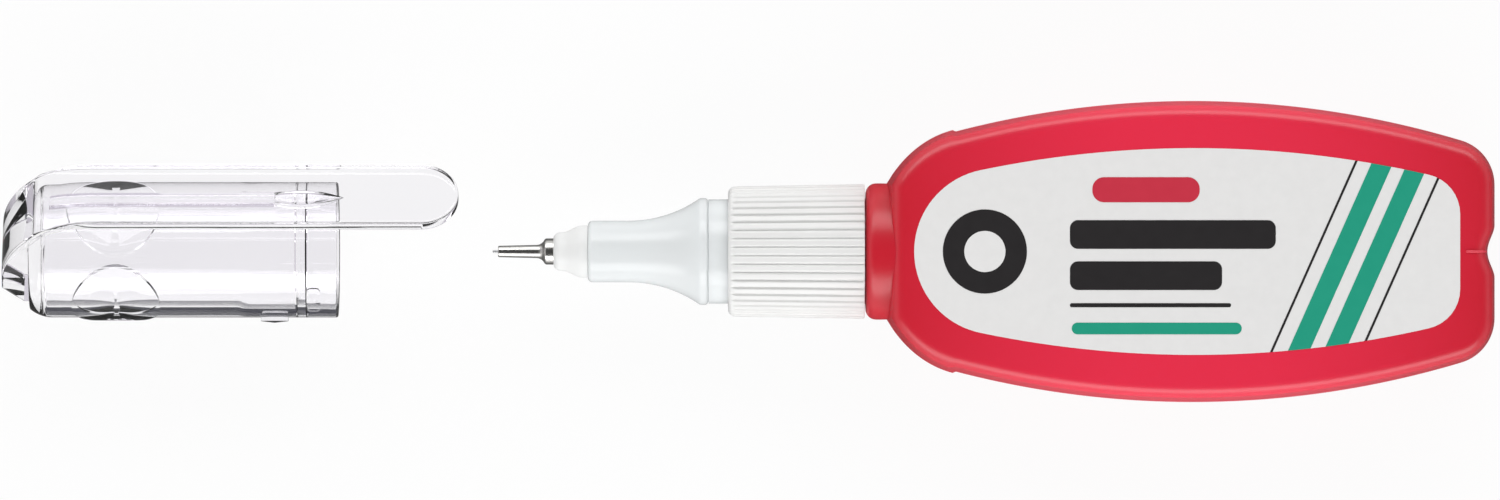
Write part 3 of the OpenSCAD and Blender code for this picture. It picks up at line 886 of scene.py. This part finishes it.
@dataclass
class ScrewCollar:
    """The white ribbed ring with straight grip grooves that start softly at the front."""

    pen: Pen
    front_radius: float = 7.3 * MM
    rear_radius: float = 7.55 * MM
    edge_radius: float = 0.8 * MM
    rear_edge: float = 0.12 * MM
    hole_radius: float = 6.05 * MM
    bore_radius: float = 6.5 * MM
    wall: float = 1.2 * MM
    grooves: int = 48
    groove_depth: float = 0.22 * MM
    groove_share: float = 0.52
    groove_start: float = 0.05 * MM
    groove_run: float = 0.75 * MM
    steps_per_groove: int = 12

    def profile(self) -> list[Point]:
        """Closed section of the collar as (x, radius)."""
        front, rear = self.pen.collar_front_x, self.pen.collar_rear_x
        slope = (self.rear_radius - self.front_radius) / (rear - front)
        corner = (front + self.edge_radius, self.front_radius - self.edge_radius)
        outer = arc(corner, self.edge_radius, 180, 90, 8)
        for along in (1.1, 1.5, 2.0, 2.6, 8.0):
            outer += [(front + along * MM, self.front_radius + slope * along * MM)]
        outer += [(rear - self.rear_edge, self.rear_radius), (rear, self.rear_radius - self.rear_edge)]
        inner = [(rear, self.bore_radius), (front + self.wall, self.bore_radius)]
        return outer + inner + [(front + self.wall, self.hole_radius), (front, self.hole_radius)]

    def _groove(self, angle: float) -> float:
        """Depth of the grooves at an angle, from 0 on a land to 1 in a groove's middle."""
        turn = (angle / FULL_TURN * self.grooves) % 1
        return ease(1 - abs(turn - 0.5) / (self.groove_share / 2))

    def build(self) -> None:
        """Make, dress and seat the collar."""
        height = self.pen.axis_height
        shape = Shape().turn(self.profile(), height, self.grooves * self.steps_per_groove)
        shape.clean()
        for vert in shape.mesh.verts:
            out = Vector((0, vert.co.y, vert.co.z - height))
            if out.length > self.bore_radius + 0.2 * MM:
                along = vert.co.x - self.pen.collar_front_x
                fade = ease((along - self.groove_start) / self.groove_run)
                depth = self.groove_depth * fade * self._groove(math.atan2(out.z, out.y))
                vert.co -= out.normalized() * depth
        white = MouldedPlastic("collar_white", (0.80, 0.80, 0.79), (0.775, 0.775, 0.77), 0.3)
        seat(shape.piece("ribbed_collar", 50), white, Body.PEN, "screw_collar")


@dataclass
class NoseAndTip:
    """The milky nose, the tip holder, the metal tube and the needle."""

    pen: Pen
    nose_front_radius: float = 3.45 * MM
    nose_front_length: float = 4.5 * MM
    nose_edge: float = 0.45 * MM
    nose_wall: float = 0.55 * MM
    neck_radius: float = 5.85 * MM
    bead_radius: float = 6.0 * MM
    bead_length: float = 1.35 * MM
    bead_rounding: float = 0.6 * MM
    bead_gap: float = 2.2 * MM
    flange_radius: float = 6.45 * MM
    collar_wall: float = 1.2 * MM
    rear_bore_radius: float = 4.7 * MM
    shank_radius: float = 2.52 * MM
    holder_front_radius: float = 2.15 * MM
    holder_rear_radius: float = 2.93 * MM
    holder_rounding: float = 0.75 * MM
    holder_edge: float = 0.1 * MM
    ramp_start: float = 0.22
    ramp_share: float = 0.64
    chamber_radius: float = 1.6 * MM
    chamber_gap: float = 0.3 * MM
    spigot_radius: float = 1.0 * MM
    fit: float = 0.02 * MM
    tube_front_radius: float = 0.64 * MM
    tube_rear_radius: float = 0.74 * MM
    tube_length: float = 4.3 * MM
    tube_lip: float = 0.12 * MM
    tube_bore_radius: float = 0.35 * MM
    tube_bore_at: float = 0.5 * MM
    throat_length: float = 0.3 * MM
    tip_flare_length: float = 1.17 * MM
    tip_corner: float = 0.33 * MM
    tip_flange_radius: float = 1.47 * MM
    tip_flange_length: float = 0.73 * MM
    needle_radius: float = 0.15 * MM
    needle_play: float = 0.05 * MM
    needle_shank_radius: float = 0.25 * MM
    needle_shank_at: float = 0.7 * MM
    needle_slope: float = 0.2 * MM

    def nose(self) -> Shape:
        """Nose: front edge, concave flare, bead, neck and trapped flange."""
        pen = self.pen
        trapped_x = pen.collar_front_x + self.collar_wall
        bead_rear = pen.collar_front_x - self.bead_gap
        bead_front = bead_rear - self.bead_length
        flare_x = pen.nose_front_x + self.nose_front_length
        bead_top = (bead_front + self.bead_rounding, self.bead_radius)
        edge = self.nose_edge
        profile = [(pen.nose_front_x, self.shank_radius)]
        profile += arc((pen.nose_front_x + edge, self.nose_front_radius - edge), edge, 180, 90, 8)
        profile += flared((flare_x, self.nose_front_radius), bead_top, self.bead_rounding, 32)
        profile += arc((bead_rear - edge, self.bead_radius - edge), edge, 90, 0, 6)
        profile += [(bead_rear, self.neck_radius), (trapped_x, self.neck_radius)]
        profile += [(trapped_x, self.flange_radius), (pen.nose_rear_x, self.flange_radius)]
        profile += [(pen.nose_rear_x, self.rear_bore_radius), (bead_front, self.rear_bore_radius)]
        profile += [(flare_x + (bead_front - flare_x) / 3, self.nose_front_radius - self.nose_wall)]
        profile += [(pen.holder_rear_x + self.chamber_gap, self.shank_radius)]
        return Shape().turn(profile, pen.axis_height, 128)

    def holder(self) -> Shape:
        """Tip holder: rounded front, soft shoulder, shank and bores."""
        pen = self.pen
        front, seat_x = pen.holder_front_x, pen.nose_front_x
        rear, bore_end = pen.holder_rear_x, pen.tube_rear_x
        rounding, edge = self.holder_rounding, self.holder_edge
        rise = self.holder_rear_radius - self.holder_front_radius
        spigot, shank = self.spigot_radius + self.fit, self.shank_radius - self.fit
        profile = [(front, spigot)]
        profile += arc((front + rounding, self.holder_front_radius - rounding), rounding, 180, 90, 12)
        for share in (i / 16 for i in range(17)):
            x = front + (seat_x - front) * (self.ramp_start + self.ramp_share * share)
            profile += [(x, self.holder_front_radius + rise * ease(share))]
        profile += [(seat_x - edge, self.holder_rear_radius), (seat_x, self.holder_rear_radius - edge)]
        profile += [(seat_x, shank), (rear, shank), (rear, self.chamber_radius)]
        profile += [(bore_end, self.chamber_radius), (bore_end, spigot)]
        return Shape().turn(profile, pen.axis_height, 96)

    def tip(self) -> Shape:
        """Metal tip: rolled mouth, tapered tube, flare, flange and spigot."""
        mouth, rear = self.pen.tube_mouth_x, self.pen.tube_rear_x
        root = (mouth + self.tube_length, self.tube_rear_radius)
        flange_top = (root[0] + self.tip_flare_length, self.tip_flange_radius)
        flange_rear = flange_top[0] + self.tip_flange_length
        lip, wide = self.tube_lip, self.tube_bore_radius
        narrow = self.needle_radius + self.needle_play
        profile = [(mouth + lip, narrow)]
        profile += arc((mouth + lip, self.tube_front_radius - lip), lip, 180, 90, 6)
        profile += flared(root, flange_top, self.tip_corner, 12)
        profile += [(flange_rear, self.tip_flange_radius), (flange_rear, self.spigot_radius)]
        profile += [(rear, self.spigot_radius), (rear, wide)]
        profile += [(mouth + self.tube_bore_at, wide), (mouth + self.throat_length, narrow)]
        return Shape().turn(profile, self.pen.axis_height, 64)

    def needle(self) -> Shape:
        """Needle: round point, slender wire and thicker shank."""
        pen, radius, thick = self.pen, self.needle_radius, self.needle_shank_radius
        shank_x = pen.tube_mouth_x + self.needle_shank_at
        profile = arc((pen.needle_front_x + radius, 0), radius, 180, 90, 8)
        profile += [(shank_x - self.needle_slope, radius), (shank_x, thick)]
        profile += [(pen.needle_rear_x, thick), (pen.needle_rear_x, 0)]
        return Shape().turn(profile, pen.axis_height, 32, closed=False)

    def build(self) -> None:
        """Make, dress and seat the four pieces."""
        milky = MouldedPlastic(
            "nose_white", (0.765, 0.79, 0.795), (0.74, 0.77, 0.78), 0.22, milky=0.35, milky_depth=1.6 * MM
        )
        white = MouldedPlastic("holder_white", (0.81, 0.815, 0.81), (0.79, 0.795, 0.79), 0.42)
        metal = TurnedMetal("tip_metal", (0.66, 0.65, 0.63))
        steel = TurnedMetal("needle_steel", (0.45, 0.45, 0.46), 0.2)
        seat(self.nose().piece("milky_nose"), milky, Body.PEN, "nose_cone")
        seat(self.holder().piece("white_holder"), white, Body.PEN, "tip_holder")
        seat(self.tip().piece("turned_tip"), metal, Body.PEN, "metal_tip")
        seat(self.needle().piece("needle_wire"), steel, Body.NEEDLE, "needle")


@dataclass
class CoilSpring:
    """The valve's spring: a coil of round wire with a closed turn at each end."""

    pen: Pen
    wire_radius: float = 0.14 * MM
    active_turns: int = 6
    steps_per_turn: int = 24
    closed_pitch: float = 0.31 * MM
    needle_travel: float = 0.5 * MM

    def __post_init__(self) -> None:
        """Read where the spring sits."""
        self.front, self.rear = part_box("valve_spring")

    def coil(self) -> Shape:
        """Wire wound from the front end to the rear end."""
        shape = Shape()
        centre = (0, 0, self.pen.axis_height)
        coil_radius = (self.rear.y - self.front.y) / 2 - self.wire_radius
        start = Vector((self.front.x + self.wire_radius, 0, centre[2] + coil_radius))
        across = Matrix.Translation(start) @ Matrix.Rotation(math.pi / 2, 4, "X")
        bmesh.ops.create_circle(shape.mesh, segments=10, radius=self.wire_radius, matrix=across)
        section = shape.mesh.verts[:] + shape.mesh.edges[:]
        length = self.rear.x - self.front.x - 2 * self.wire_radius
        open_pitch = (length - 2 * self.closed_pitch) / self.active_turns
        for turns, pitch in ((1, self.closed_pitch), (self.active_turns, open_pitch), (1, self.closed_pitch)):
            wound = bmesh.ops.spin(
                shape.mesh,
                geom=section,
                cent=centre,
                axis=(1, 0, 0),
                dvec=(pitch / self.steps_per_turn, 0, 0),
                angle=turns * FULL_TURN,
                steps=turns * self.steps_per_turn,
            )
            section = wound["geom_last"]
        bmesh.ops.holes_fill(shape.mesh, edges=[edge for edge in shape.mesh.edges if edge.is_boundary])
        shape.clean()
        return shape

    def build(self) -> None:
        """Make and seat the spring, on a mesh of its own."""
        spring = self.coil().piece("coil_spring")
        seat(spring, TurnedMetal("spring_wire", (0.52, 0.52, 0.53)), Body.PEN, "valve_spring")
        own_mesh(spring)


@dataclass
class ClearCap:
    """The clear cap, one moulding with its clip, rib, bump, pads and lugs.

    Its parts are drawn with the pen's axis as X and the clip straight up, and are turned at the end.
    """

    pen: Pen
    length: float = 34.6 * MM
    radius: float = 7.4 * MM
    lip: float = 0.25 * MM
    end_curve_length: float = 2.6 * MM
    end_drop: float = 0.95 * MM
    end_rounding: float = 0.3 * MM
    end_thickness: float = 1.6 * MM
    mouth_radius: float = 6.45 * MM
    deep_radius: float = 6.1 * MM
    deep_corner: float = 0.6 * MM
    wide_length: float = 11.2 * MM
    step_length: float = 0.85 * MM
    snap_radius: float = 6.05 * MM
    snap_at: float = 3.6 * MM
    snap_length: float = 0.9 * MM
    snap_slope: float = 0.25 * MM
    pad_size: Point = (9.9 * MM, 9.9 * MM)
    pad_height: float = 0.55 * MM
    pad_at: float = 9.8 * MM
    pad_turn: float = 1.1
    raised_rounding: float = 0.18 * MM
    raised_root: float = 0.3 * MM
    side_lug_height: float = 0.35 * MM
    side_lug_size: Point = (1.55 * MM, 3.7 * MM)
    side_lug_at: float = 1.9 * MM
    side_lug_angle: float = 48
    low_lug_height: float = 0.6 * MM
    low_lug_size: Point = (3.1 * MM, 1.9 * MM)
    low_lug_at: float = 5.6 * MM
    low_lug_angle: float = 90
    clip_angle: float = 38
    clip_width: float = 8.35 * MM
    clip_thickness: float = 1.45 * MM
    clip_gap: float = 1.75 * MM
    clip_over: float = 13.6 * MM
    clip_rounding: float = 0.28 * MM
    strap_thickness: float = 3.1 * MM
    strap_reach: float = 3.9 * MM
    strap_bevel: float = 2.4 * MM
    strap_inset: float = 0.06 * MM
    bend_radius: float = 10.6 * MM
    bend_inner_radius: float = 3.6 * MM
    rib_width: float = 1.35 * MM
    rib_height: float = 0.9 * MM
    rib_rounding: float = 0.09 * MM
    rib_start_share: float = 0.72
    bump_length: float = 9.8 * MM
    bump_width: float = 2.1 * MM
    bump_height: float = 1.35 * MM
    bump_over: float = 0.8 * MM
    buried: float = 0.1 * MM

    def __post_init__(self) -> None:
        """Work out the stations along the axis and the clip's two heights."""
        self.end_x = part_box("cap")[0].x + self.strap_thickness
        self.mouth_x = self.end_x + self.length
        self.clip_low = self.radius + self.clip_gap
        self.clip_high = self.clip_low + self.clip_thickness

    def barrel(self) -> Shape:
        """Outer form of the barrel, curved in towards its closed end."""
        curve = (self.end_curve_length**2 + self.end_drop**2) / (2 * self.end_drop)
        centre = (self.end_x + self.end_curve_length, self.radius - curve)
        reach = self.end_curve_length - self.end_rounding
        rise = math.sqrt((curve - self.end_rounding) ** 2 - reach**2)
        meeting = math.degrees(math.atan2(rise, -reach))
        corner = (self.end_x + self.end_rounding, centre[1] + rise)
        profile = [(self.end_x, 0)] + arc(corner, self.end_rounding, 180, meeting, 6)
        profile += arc(centre, curve, meeting, 90, 16)[1:]
        profile += arc((self.mouth_x - self.lip, self.radius - self.lip), self.lip, 90, 0, 4)
        return Shape().turn(profile + [(self.mouth_x, 0)], 0, 160, closed=False)

    def bore(self) -> Shape:
        """Stepped bore with its snap ring, as a solid that is cut out."""
        mouth, snap, deep = self.mouth_x, self.mouth_x - self.snap_at, self.mouth_x - self.wide_length
        snap_end = snap - self.snap_length
        floor = self.end_x + self.end_thickness
        corner = (floor + self.deep_corner, self.deep_radius - self.deep_corner)
        profile = [(mouth + MM, 0), (mouth + MM, self.mouth_radius)]
        profile += [(snap + self.snap_slope, self.mouth_radius), (snap, self.snap_radius)]
        profile += [(snap_end, self.snap_radius), (snap_end - self.snap_slope, self.mouth_radius)]
        profile += [(deep + self.step_length, self.mouth_radius), (deep, self.deep_radius)]
        profile += arc(corner, self.deep_corner, 90, 180, 8) + [(floor, 0)]
        return Shape().turn(profile, 0, 160, closed=False)

    def raised(self, place: Point, size: Point, height: float, square: float = 2) -> Shape:
        """Raised pad or lug that follows the barrel.

        Args:
            place: Station of its middle, and angle round the axis from the clip in degrees.
            size: Length along the axis and width across it.
            height: How far it stands out of the barrel.
            square: 2 for an oval outline, more for squarer corners.

        Returns:
            The closed form, with its base inside the barrel.
        """
        shape = Shape()
        bmesh.ops.create_circle(shape.mesh, cap_ends=True, segments=96, radius=1)
        centre = shape.mesh.faces[:]
        small = min(size) / 2
        rounding = min(self.raised_rounding, 0.6 * height)
        rim = [rounding / small * (1 - math.cos(math.pi / 2 * i / 5)) for i in range(6)]
        rings = rim + [rim[-1] + (1 - rim[-1]) * share for share in (0.1, 0.25, 0.42, 0.6, 0.78)]
        for inner, outer in zip(rings, rings[1:]):
            bmesh.ops.inset_region(shape.mesh, faces=centre, thickness=outer - inner, depth=0)
        bmesh.ops.poke(shape.mesh, faces=centre)
        for vert in shape.mesh.verts:
            from_edge = (1 - vert.co.xy.length) * small
            drop = rounding - math.sqrt(max(rounding**2 - max(rounding - from_edge, 0) ** 2, 0))
            turn = math.atan2(vert.co.y, vert.co.x)
            bulge = (abs(math.cos(turn)) ** square + abs(math.sin(turn)) ** square) ** (-1 / square)
            vert.co.x *= bulge * size[0] / 2
            vert.co.y *= bulge * size[1] / 2
            vert.co.z = math.sqrt((self.radius + height - drop) ** 2 - vert.co.y**2)
        base = math.sqrt(self.radius**2 - (size[1] / 2) ** 2) - self.raised_root
        for vert in shape.extrude((0, 0, 0)):
            vert.co.z = base
        shape.mesh.transform(
            Matrix.Rotation(math.radians(place[1]), 4, "X") @ Matrix.Translation((place[0], 0, 0))
        )
        return shape

    def strap(self) -> Shape:
        """Strap over the closed end, its bend and the flat clip."""
        inside_x = self.end_x + self.end_thickness / 2
        strap_x = self.end_x - self.strap_thickness
        clip_end = self.mouth_x + self.clip_over
        outer, inner = self.bend_radius, self.bend_inner_radius
        inner_end = self.end_x + self.strap_inset
        side = [(inside_x, -self.strap_reach), (strap_x + self.strap_bevel, -self.strap_reach)]
        side += [(strap_x, self.strap_bevel - self.strap_reach)]
        side += arc((strap_x + outer, self.clip_high - outer), outer, 180, 90, 28)
        side += [(clip_end, self.clip_high), (clip_end, self.clip_low)]
        side += arc((inner_end + inner, self.clip_low - inner), inner, 90, 180, 16)
        side += [(inner_end, self.strap_reach), (inside_x, self.strap_reach)]
        shape = Shape()
        shape.face([(x, -self.clip_width / 2, z) for x, z in side])
        shape.extrude((0, self.clip_width, 0))
        shape.clean()
        return shape

    def end_cutter(self) -> Shape:
        """Upright solid that keeps the clip's plan: straight sides and the round free end."""
        half = self.clip_width / 2
        middle_x = self.mouth_x + self.clip_over - half
        far_x = self.end_x - 3 * self.strap_thickness
        outline = [(far_x, -2 * half), (middle_x, -2 * half), (middle_x, -half)]
        outline += arc((middle_x, 0), half, -90, 90, 48)
        outline += [(middle_x, 2 * half), (far_x, 2 * half)]
        shape = Shape()
        shape.face([(x, y, -self.radius) for x, y in outline])
        shape.extrude((0, 0, 3 * self.radius))
        return shape

    def rib(self) -> Shape:
        """Rib that runs under the clip to the bump."""
        rib_end = self.mouth_x + self.bump_over - self.bump_length + self.bump_width
        start = self.end_x + self.rib_start_share * self.bend_inner_radius
        length, height = rib_end - start, self.rib_height + self.buried
        place = Matrix.Translation((start + length / 2, 0, self.clip_low - self.rib_height + height / 2))
        sides = Matrix.Diagonal((length, self.rib_width, height, 1))
        shape = Shape()
        bmesh.ops.create_cube(shape.mesh, size=1, matrix=place @ sides)
        shape.soften(self.rib_rounding)
        return shape

    def bump(self) -> Shape:
        """Boat-shaped grip bump under the clip's free part."""
        half = self.bump_length / 2
        side_radius = (half**2 + self.bump_height**2) / (2 * self.bump_height)
        plan_radius = (half**2 + (self.bump_width / 2) ** 2) / self.bump_width
        shape = Shape()
        bmesh.ops.create_grid(shape.mesh, x_segments=40, y_segments=12, size=1)
        for vert in shape.mesh.verts:
            along = 0.995 * half * math.sin(math.pi / 2 * vert.co.x)
            wide = math.sqrt(plan_radius**2 - along**2) - (plan_radius - self.bump_width / 2)
            deep = math.sqrt(side_radius**2 - along**2) - (side_radius - self.bump_height)
            across = math.sin(math.pi / 2 * vert.co.y)
            fall = (deep + self.buried) * max(math.cos(math.pi / 2 * vert.co.y), 0) ** 0.7
            vert.co = (along, across * wide, self.clip_low + self.buried - fall)
        for vert in shape.extrude((0, 0, 0)):
            vert.co.z = self.clip_low + self.clip_thickness / 2
        shape.mesh.transform(Matrix.Translation((self.mouth_x + self.bump_over - half, 0, 0)))
        return shape

    def pads_and_lugs(self) -> list[Shape]:
        """The two round pads, a quarter turn apart, and the two lugs near the mouth."""
        places = [(self.end_x + self.pad_at, self.pad_turn + turn) for turn in (0, 90)]
        parts = [self.raised(place, self.pad_size, self.pad_height) for place in places]
        for at, angle, size, height in (
            (self.side_lug_at, self.side_lug_angle, self.side_lug_size, self.side_lug_height),
            (self.low_lug_at, self.low_lug_angle, self.low_lug_size, self.low_lug_height),
        ):
            place = (self.mouth_x - at - size[0] / 2, angle + self.clip_angle)
            parts += [self.raised(place, size, height, 5)]
        return parts

    def build(self) -> None:
        """Join the parts into one closed moulding, then dress and seat it."""
        clip = self.strap().piece("strap")
        apply_boolean(clip, self.end_cutter().piece("clip_plan"), "INTERSECT")
        rounded = Shape(clip.data)
        rounded.soften(self.clip_rounding, 50, 4)
        bpy.data.objects.remove(clip)
        cap = self.barrel().piece("clear_cap")
        for number, part in enumerate([rounded, self.rib(), self.bump(), *self.pads_and_lugs()]):
            apply_boolean(cap, part.piece(f"part_{number}"), "UNION")
        apply_boolean(cap, self.bore().piece("bore"), "DIFFERENCE")
        turned = Shape(cap.data)
        turned.clean()
        turned.close_slits()
        bpy.data.objects.remove(cap)
        lift = Matrix.Translation((0, 0, self.pen.axis_height))
        turned.mesh.transform(lift @ Matrix.Rotation(math.radians(-self.clip_angle), 4, "X"))
        moulding = turned.piece("clear_moulding", 24)
        even = moulding.modifiers.new("even_normals", "WEIGHTED_NORMAL")
        even.keep_sharp = True
        clear = ClearPlastic("cap_clear", (0.95, 0.941, 0.966), (0.98, 0.974, 0.986))
        seat(moulding, clear, Body.CAP, "cap")


@dataclass
class HiddenParts:
    """The inner pieces that stay as the frame has them and only get their finishes."""

    def build(self) -> None:
        """Dress the gasket, the valve pieces and the ball."""
        acetal = MouldedPlastic("valve_white", (0.74, 0.74, 0.72), (0.70, 0.70, 0.68), 0.4)
        foam = MouldedPlastic(
            "gasket_foam", (0.62, 0.62, 0.58), (0.52, 0.52, 0.48), 0.85, 0.4 * MM, 0.05 * MM
        )
        steel = TurnedMetal("bright_steel", (0.52, 0.52, 0.53))
        for node, finish in (
            ("neck_gasket", foam),
            ("valve_plunger", acetal),
            ("spring_retainer", acetal),
            ("mixing_ball", steel),
        ):
            dress(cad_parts[node], finish)
            LOG.info("%s: dressed", node)


@dataclass
class Studio:
    """Camera, floor, lamps and background."""

    pen: Pen
    photo_width: int = 1500
    photo_height: int = 500
    mm_per_pixel: float = 0.1122
    object_middle_pixel: Point = (748.5, 251.5)
    lens: float = 400
    sensor: float = 36
    card_width: float = 9 * MM
    card_gap: float = 0.2 * MM
    card_height: float = 0.5 * MM
    floor_glow: float = 0.93
    painted_shade_half_width: float = 12 * MM
    painted_shade_fade: float = 30 * MM
    through: Colour = (0.67, 0.64, 0.70)

    def camera(self) -> None:
        """Look straight down on the flat face, framed as the photograph is."""
        data = bpy.data.cameras.new("camera")
        data.lens = self.lens
        data.sensor_width = self.sensor
        pixel = self.mm_per_pixel * MM
        distance = self.photo_width * pixel * self.lens / self.sensor
        item = bpy.data.objects.new("camera", data)
        item.location = (
            (self.photo_width / 2 - self.object_middle_pixel[0]) * pixel,
            (self.object_middle_pixel[1] - self.photo_height / 2) * pixel,
            self.pen.axis_height + distance,
        )
        bpy.context.scene.collection.objects.link(item)
        bpy.context.scene.camera = item

    def floor(self) -> None:
        """Pale floor that reads near white, keeps the shadow and shows painted shade in gloss near the pen.
        """
        shape = Shape()
        bmesh.ops.create_grid(shape.mesh, x_segments=1, y_segments=1, size=1.5)
        floor = shape.piece("floor")
        tree = ShaderTree(bpy.data.materials.new("floor_white"))
        seen = tree.ray("Is Camera Ray").larger(tree.ray("Is Transmission Ray"))
        _, across, _ = tree.axes()
        # Painted shade in reflections: near the pen the floor is dark to glossy rays only, standing in for
        # the pen's dark surroundings.
        near = (1.0 - (abs(across) - self.painted_shade_half_width) / self.painted_shade_fade).larger(0).smaller(1)
        pale = tree.mix(tree.ray("Is Glossy Ray") * near, (0.82, 0.82, 0.82), (0.16, 0.16, 0.16))
        matt = tree.make("ShaderNodeBsdfDiffuse", {}, {"Color": pale})
        glow = tree.make("ShaderNodeEmission", {}, {"Color": (1, 1, 1, 1), "Strength": 1.0})
        tree.node("ShaderNodeOutputMaterial", {}, {"Surface": tree.blend(seen * self.floor_glow, matt, glow)})
        floor.data.materials.append(tree.owner)

    def flag(self) -> None:
        """Dark card beside the cap, out of the camera's sight, that paints shade into the clear wall's edge
        as seen through the plastic.
        """
        low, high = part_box("cap")
        middle = ((low.x + high.x) / 2, low.y - self.card_gap - self.card_width / 2, self.card_height)
        sides = Matrix.Diagonal((high.x - low.x, self.card_width, 1, 1))
        shape = Shape()
        bmesh.ops.create_grid(
            shape.mesh, x_segments=1, y_segments=1, size=0.5, matrix=Matrix.Translation(middle) @ sides
        )
        card = shape.piece("dark_card")
        # The card's near black is painted shade: only rays through the clear plastic see it.
        dress(card, MouldedPlastic("card_black", (0.05, 0.05, 0.075), (0.04, 0.04, 0.06), 0.8))
        card.visible_camera = False
        card.visible_diffuse = False
        card.visible_shadow = False
        card.visible_glossy = False

    def world(self) -> None:
        """Pale surroundings, dim overhead, white where the camera looks at them."""
        tree = ShaderTree(bpy.data.worlds.new("surroundings"))
        direction = tree.make("ShaderNodeTexCoord", {}, {}, "Generated")
        height = tree.make("ShaderNodeSeparateXYZ", {}, {0: direction}, "Z")
        matt_stops = [(0.0, 0.60), (0.35, 0.60), (0.8, 0.25), (1.0, 0.18)]
        shiny_stops = [(0.0, 1.0), (0.35, 0.95), (0.75, 0.12), (1.0, 0.05)]
        matt, shiny, through, shown = (
            tree.make("ShaderNodeBackground", {}, {"Color": colour})
            for colour in (
                tree.make("ShaderNodeValToRGB", {"stops": matt_stops}, {0: height}),
                tree.make("ShaderNodeValToRGB", {"stops": shiny_stops}, {0: height}),
                (*self.through, 1),
                (1, 1, 1, 1),
            )
        )
        lit = tree.blend(tree.ray("Is Glossy Ray"), matt, shiny)
        clear = tree.blend(tree.ray("Is Transmission Ray"), lit, through)
        mixed = tree.blend(tree.ray("Is Camera Ray"), clear, shown)
        tree.node("ShaderNodeOutputWorld", {}, {"Surface": mixed})
        bpy.context.scene.world = tree.owner

    def lamp(self, name: str, place: Vector, size: Point, power: float) -> None:
        """Add one soft rectangular lamp that looks at the middle of the object.

        Args:
            name: The lamp's name.
            place: Its position.
            size: Its width and height, in metres.
            power: Its power in watts.
        """
        data = bpy.data.lights.new(name, "AREA")
        data.shape = "RECTANGLE"
        data.size, data.size_y = size
        data.energy = power
        item = bpy.data.objects.new(name, data)
        item.location = place
        aim = Vector((0, 0, self.pen.axis_height)) - place
        item.rotation_euler = aim.to_track_quat("-Z", "Y").to_euler()
        bpy.context.scene.collection.objects.link(item)

    def build(self) -> None:
        """Set up the whole studio."""
        self.camera()
        self.floor()
        self.flag()
        self.world()
        self.lamp("lamp_far", Vector((0.0, 0.52, 0.37)), (1.2, 0.34), 4.0)
        self.lamp("lamp_near", Vector((0.0, -0.55, 0.31)), (1.2, 0.40), 4.5)
        bpy.context.scene.view_settings.view_transform = "Standard"


def main() -> None:
    """Build the pen's looks and the studio round it."""
    logging.basicConfig(level=logging.INFO, format="%(message)s")
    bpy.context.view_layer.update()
    pen = Pen()
    for part in (
        SqueezeBottle(pen),
        PrintedLabel(pen),
        ScrewCollar(pen),
        NoseAndTip(pen),
        CoilSpring(pen),
        ClearCap(pen),
        HiddenParts(),
        Studio(pen),
    ):
        part.build()
        LOG.info("%s: built", type(part).__name__)


if __name__ == "__main__":
    main()
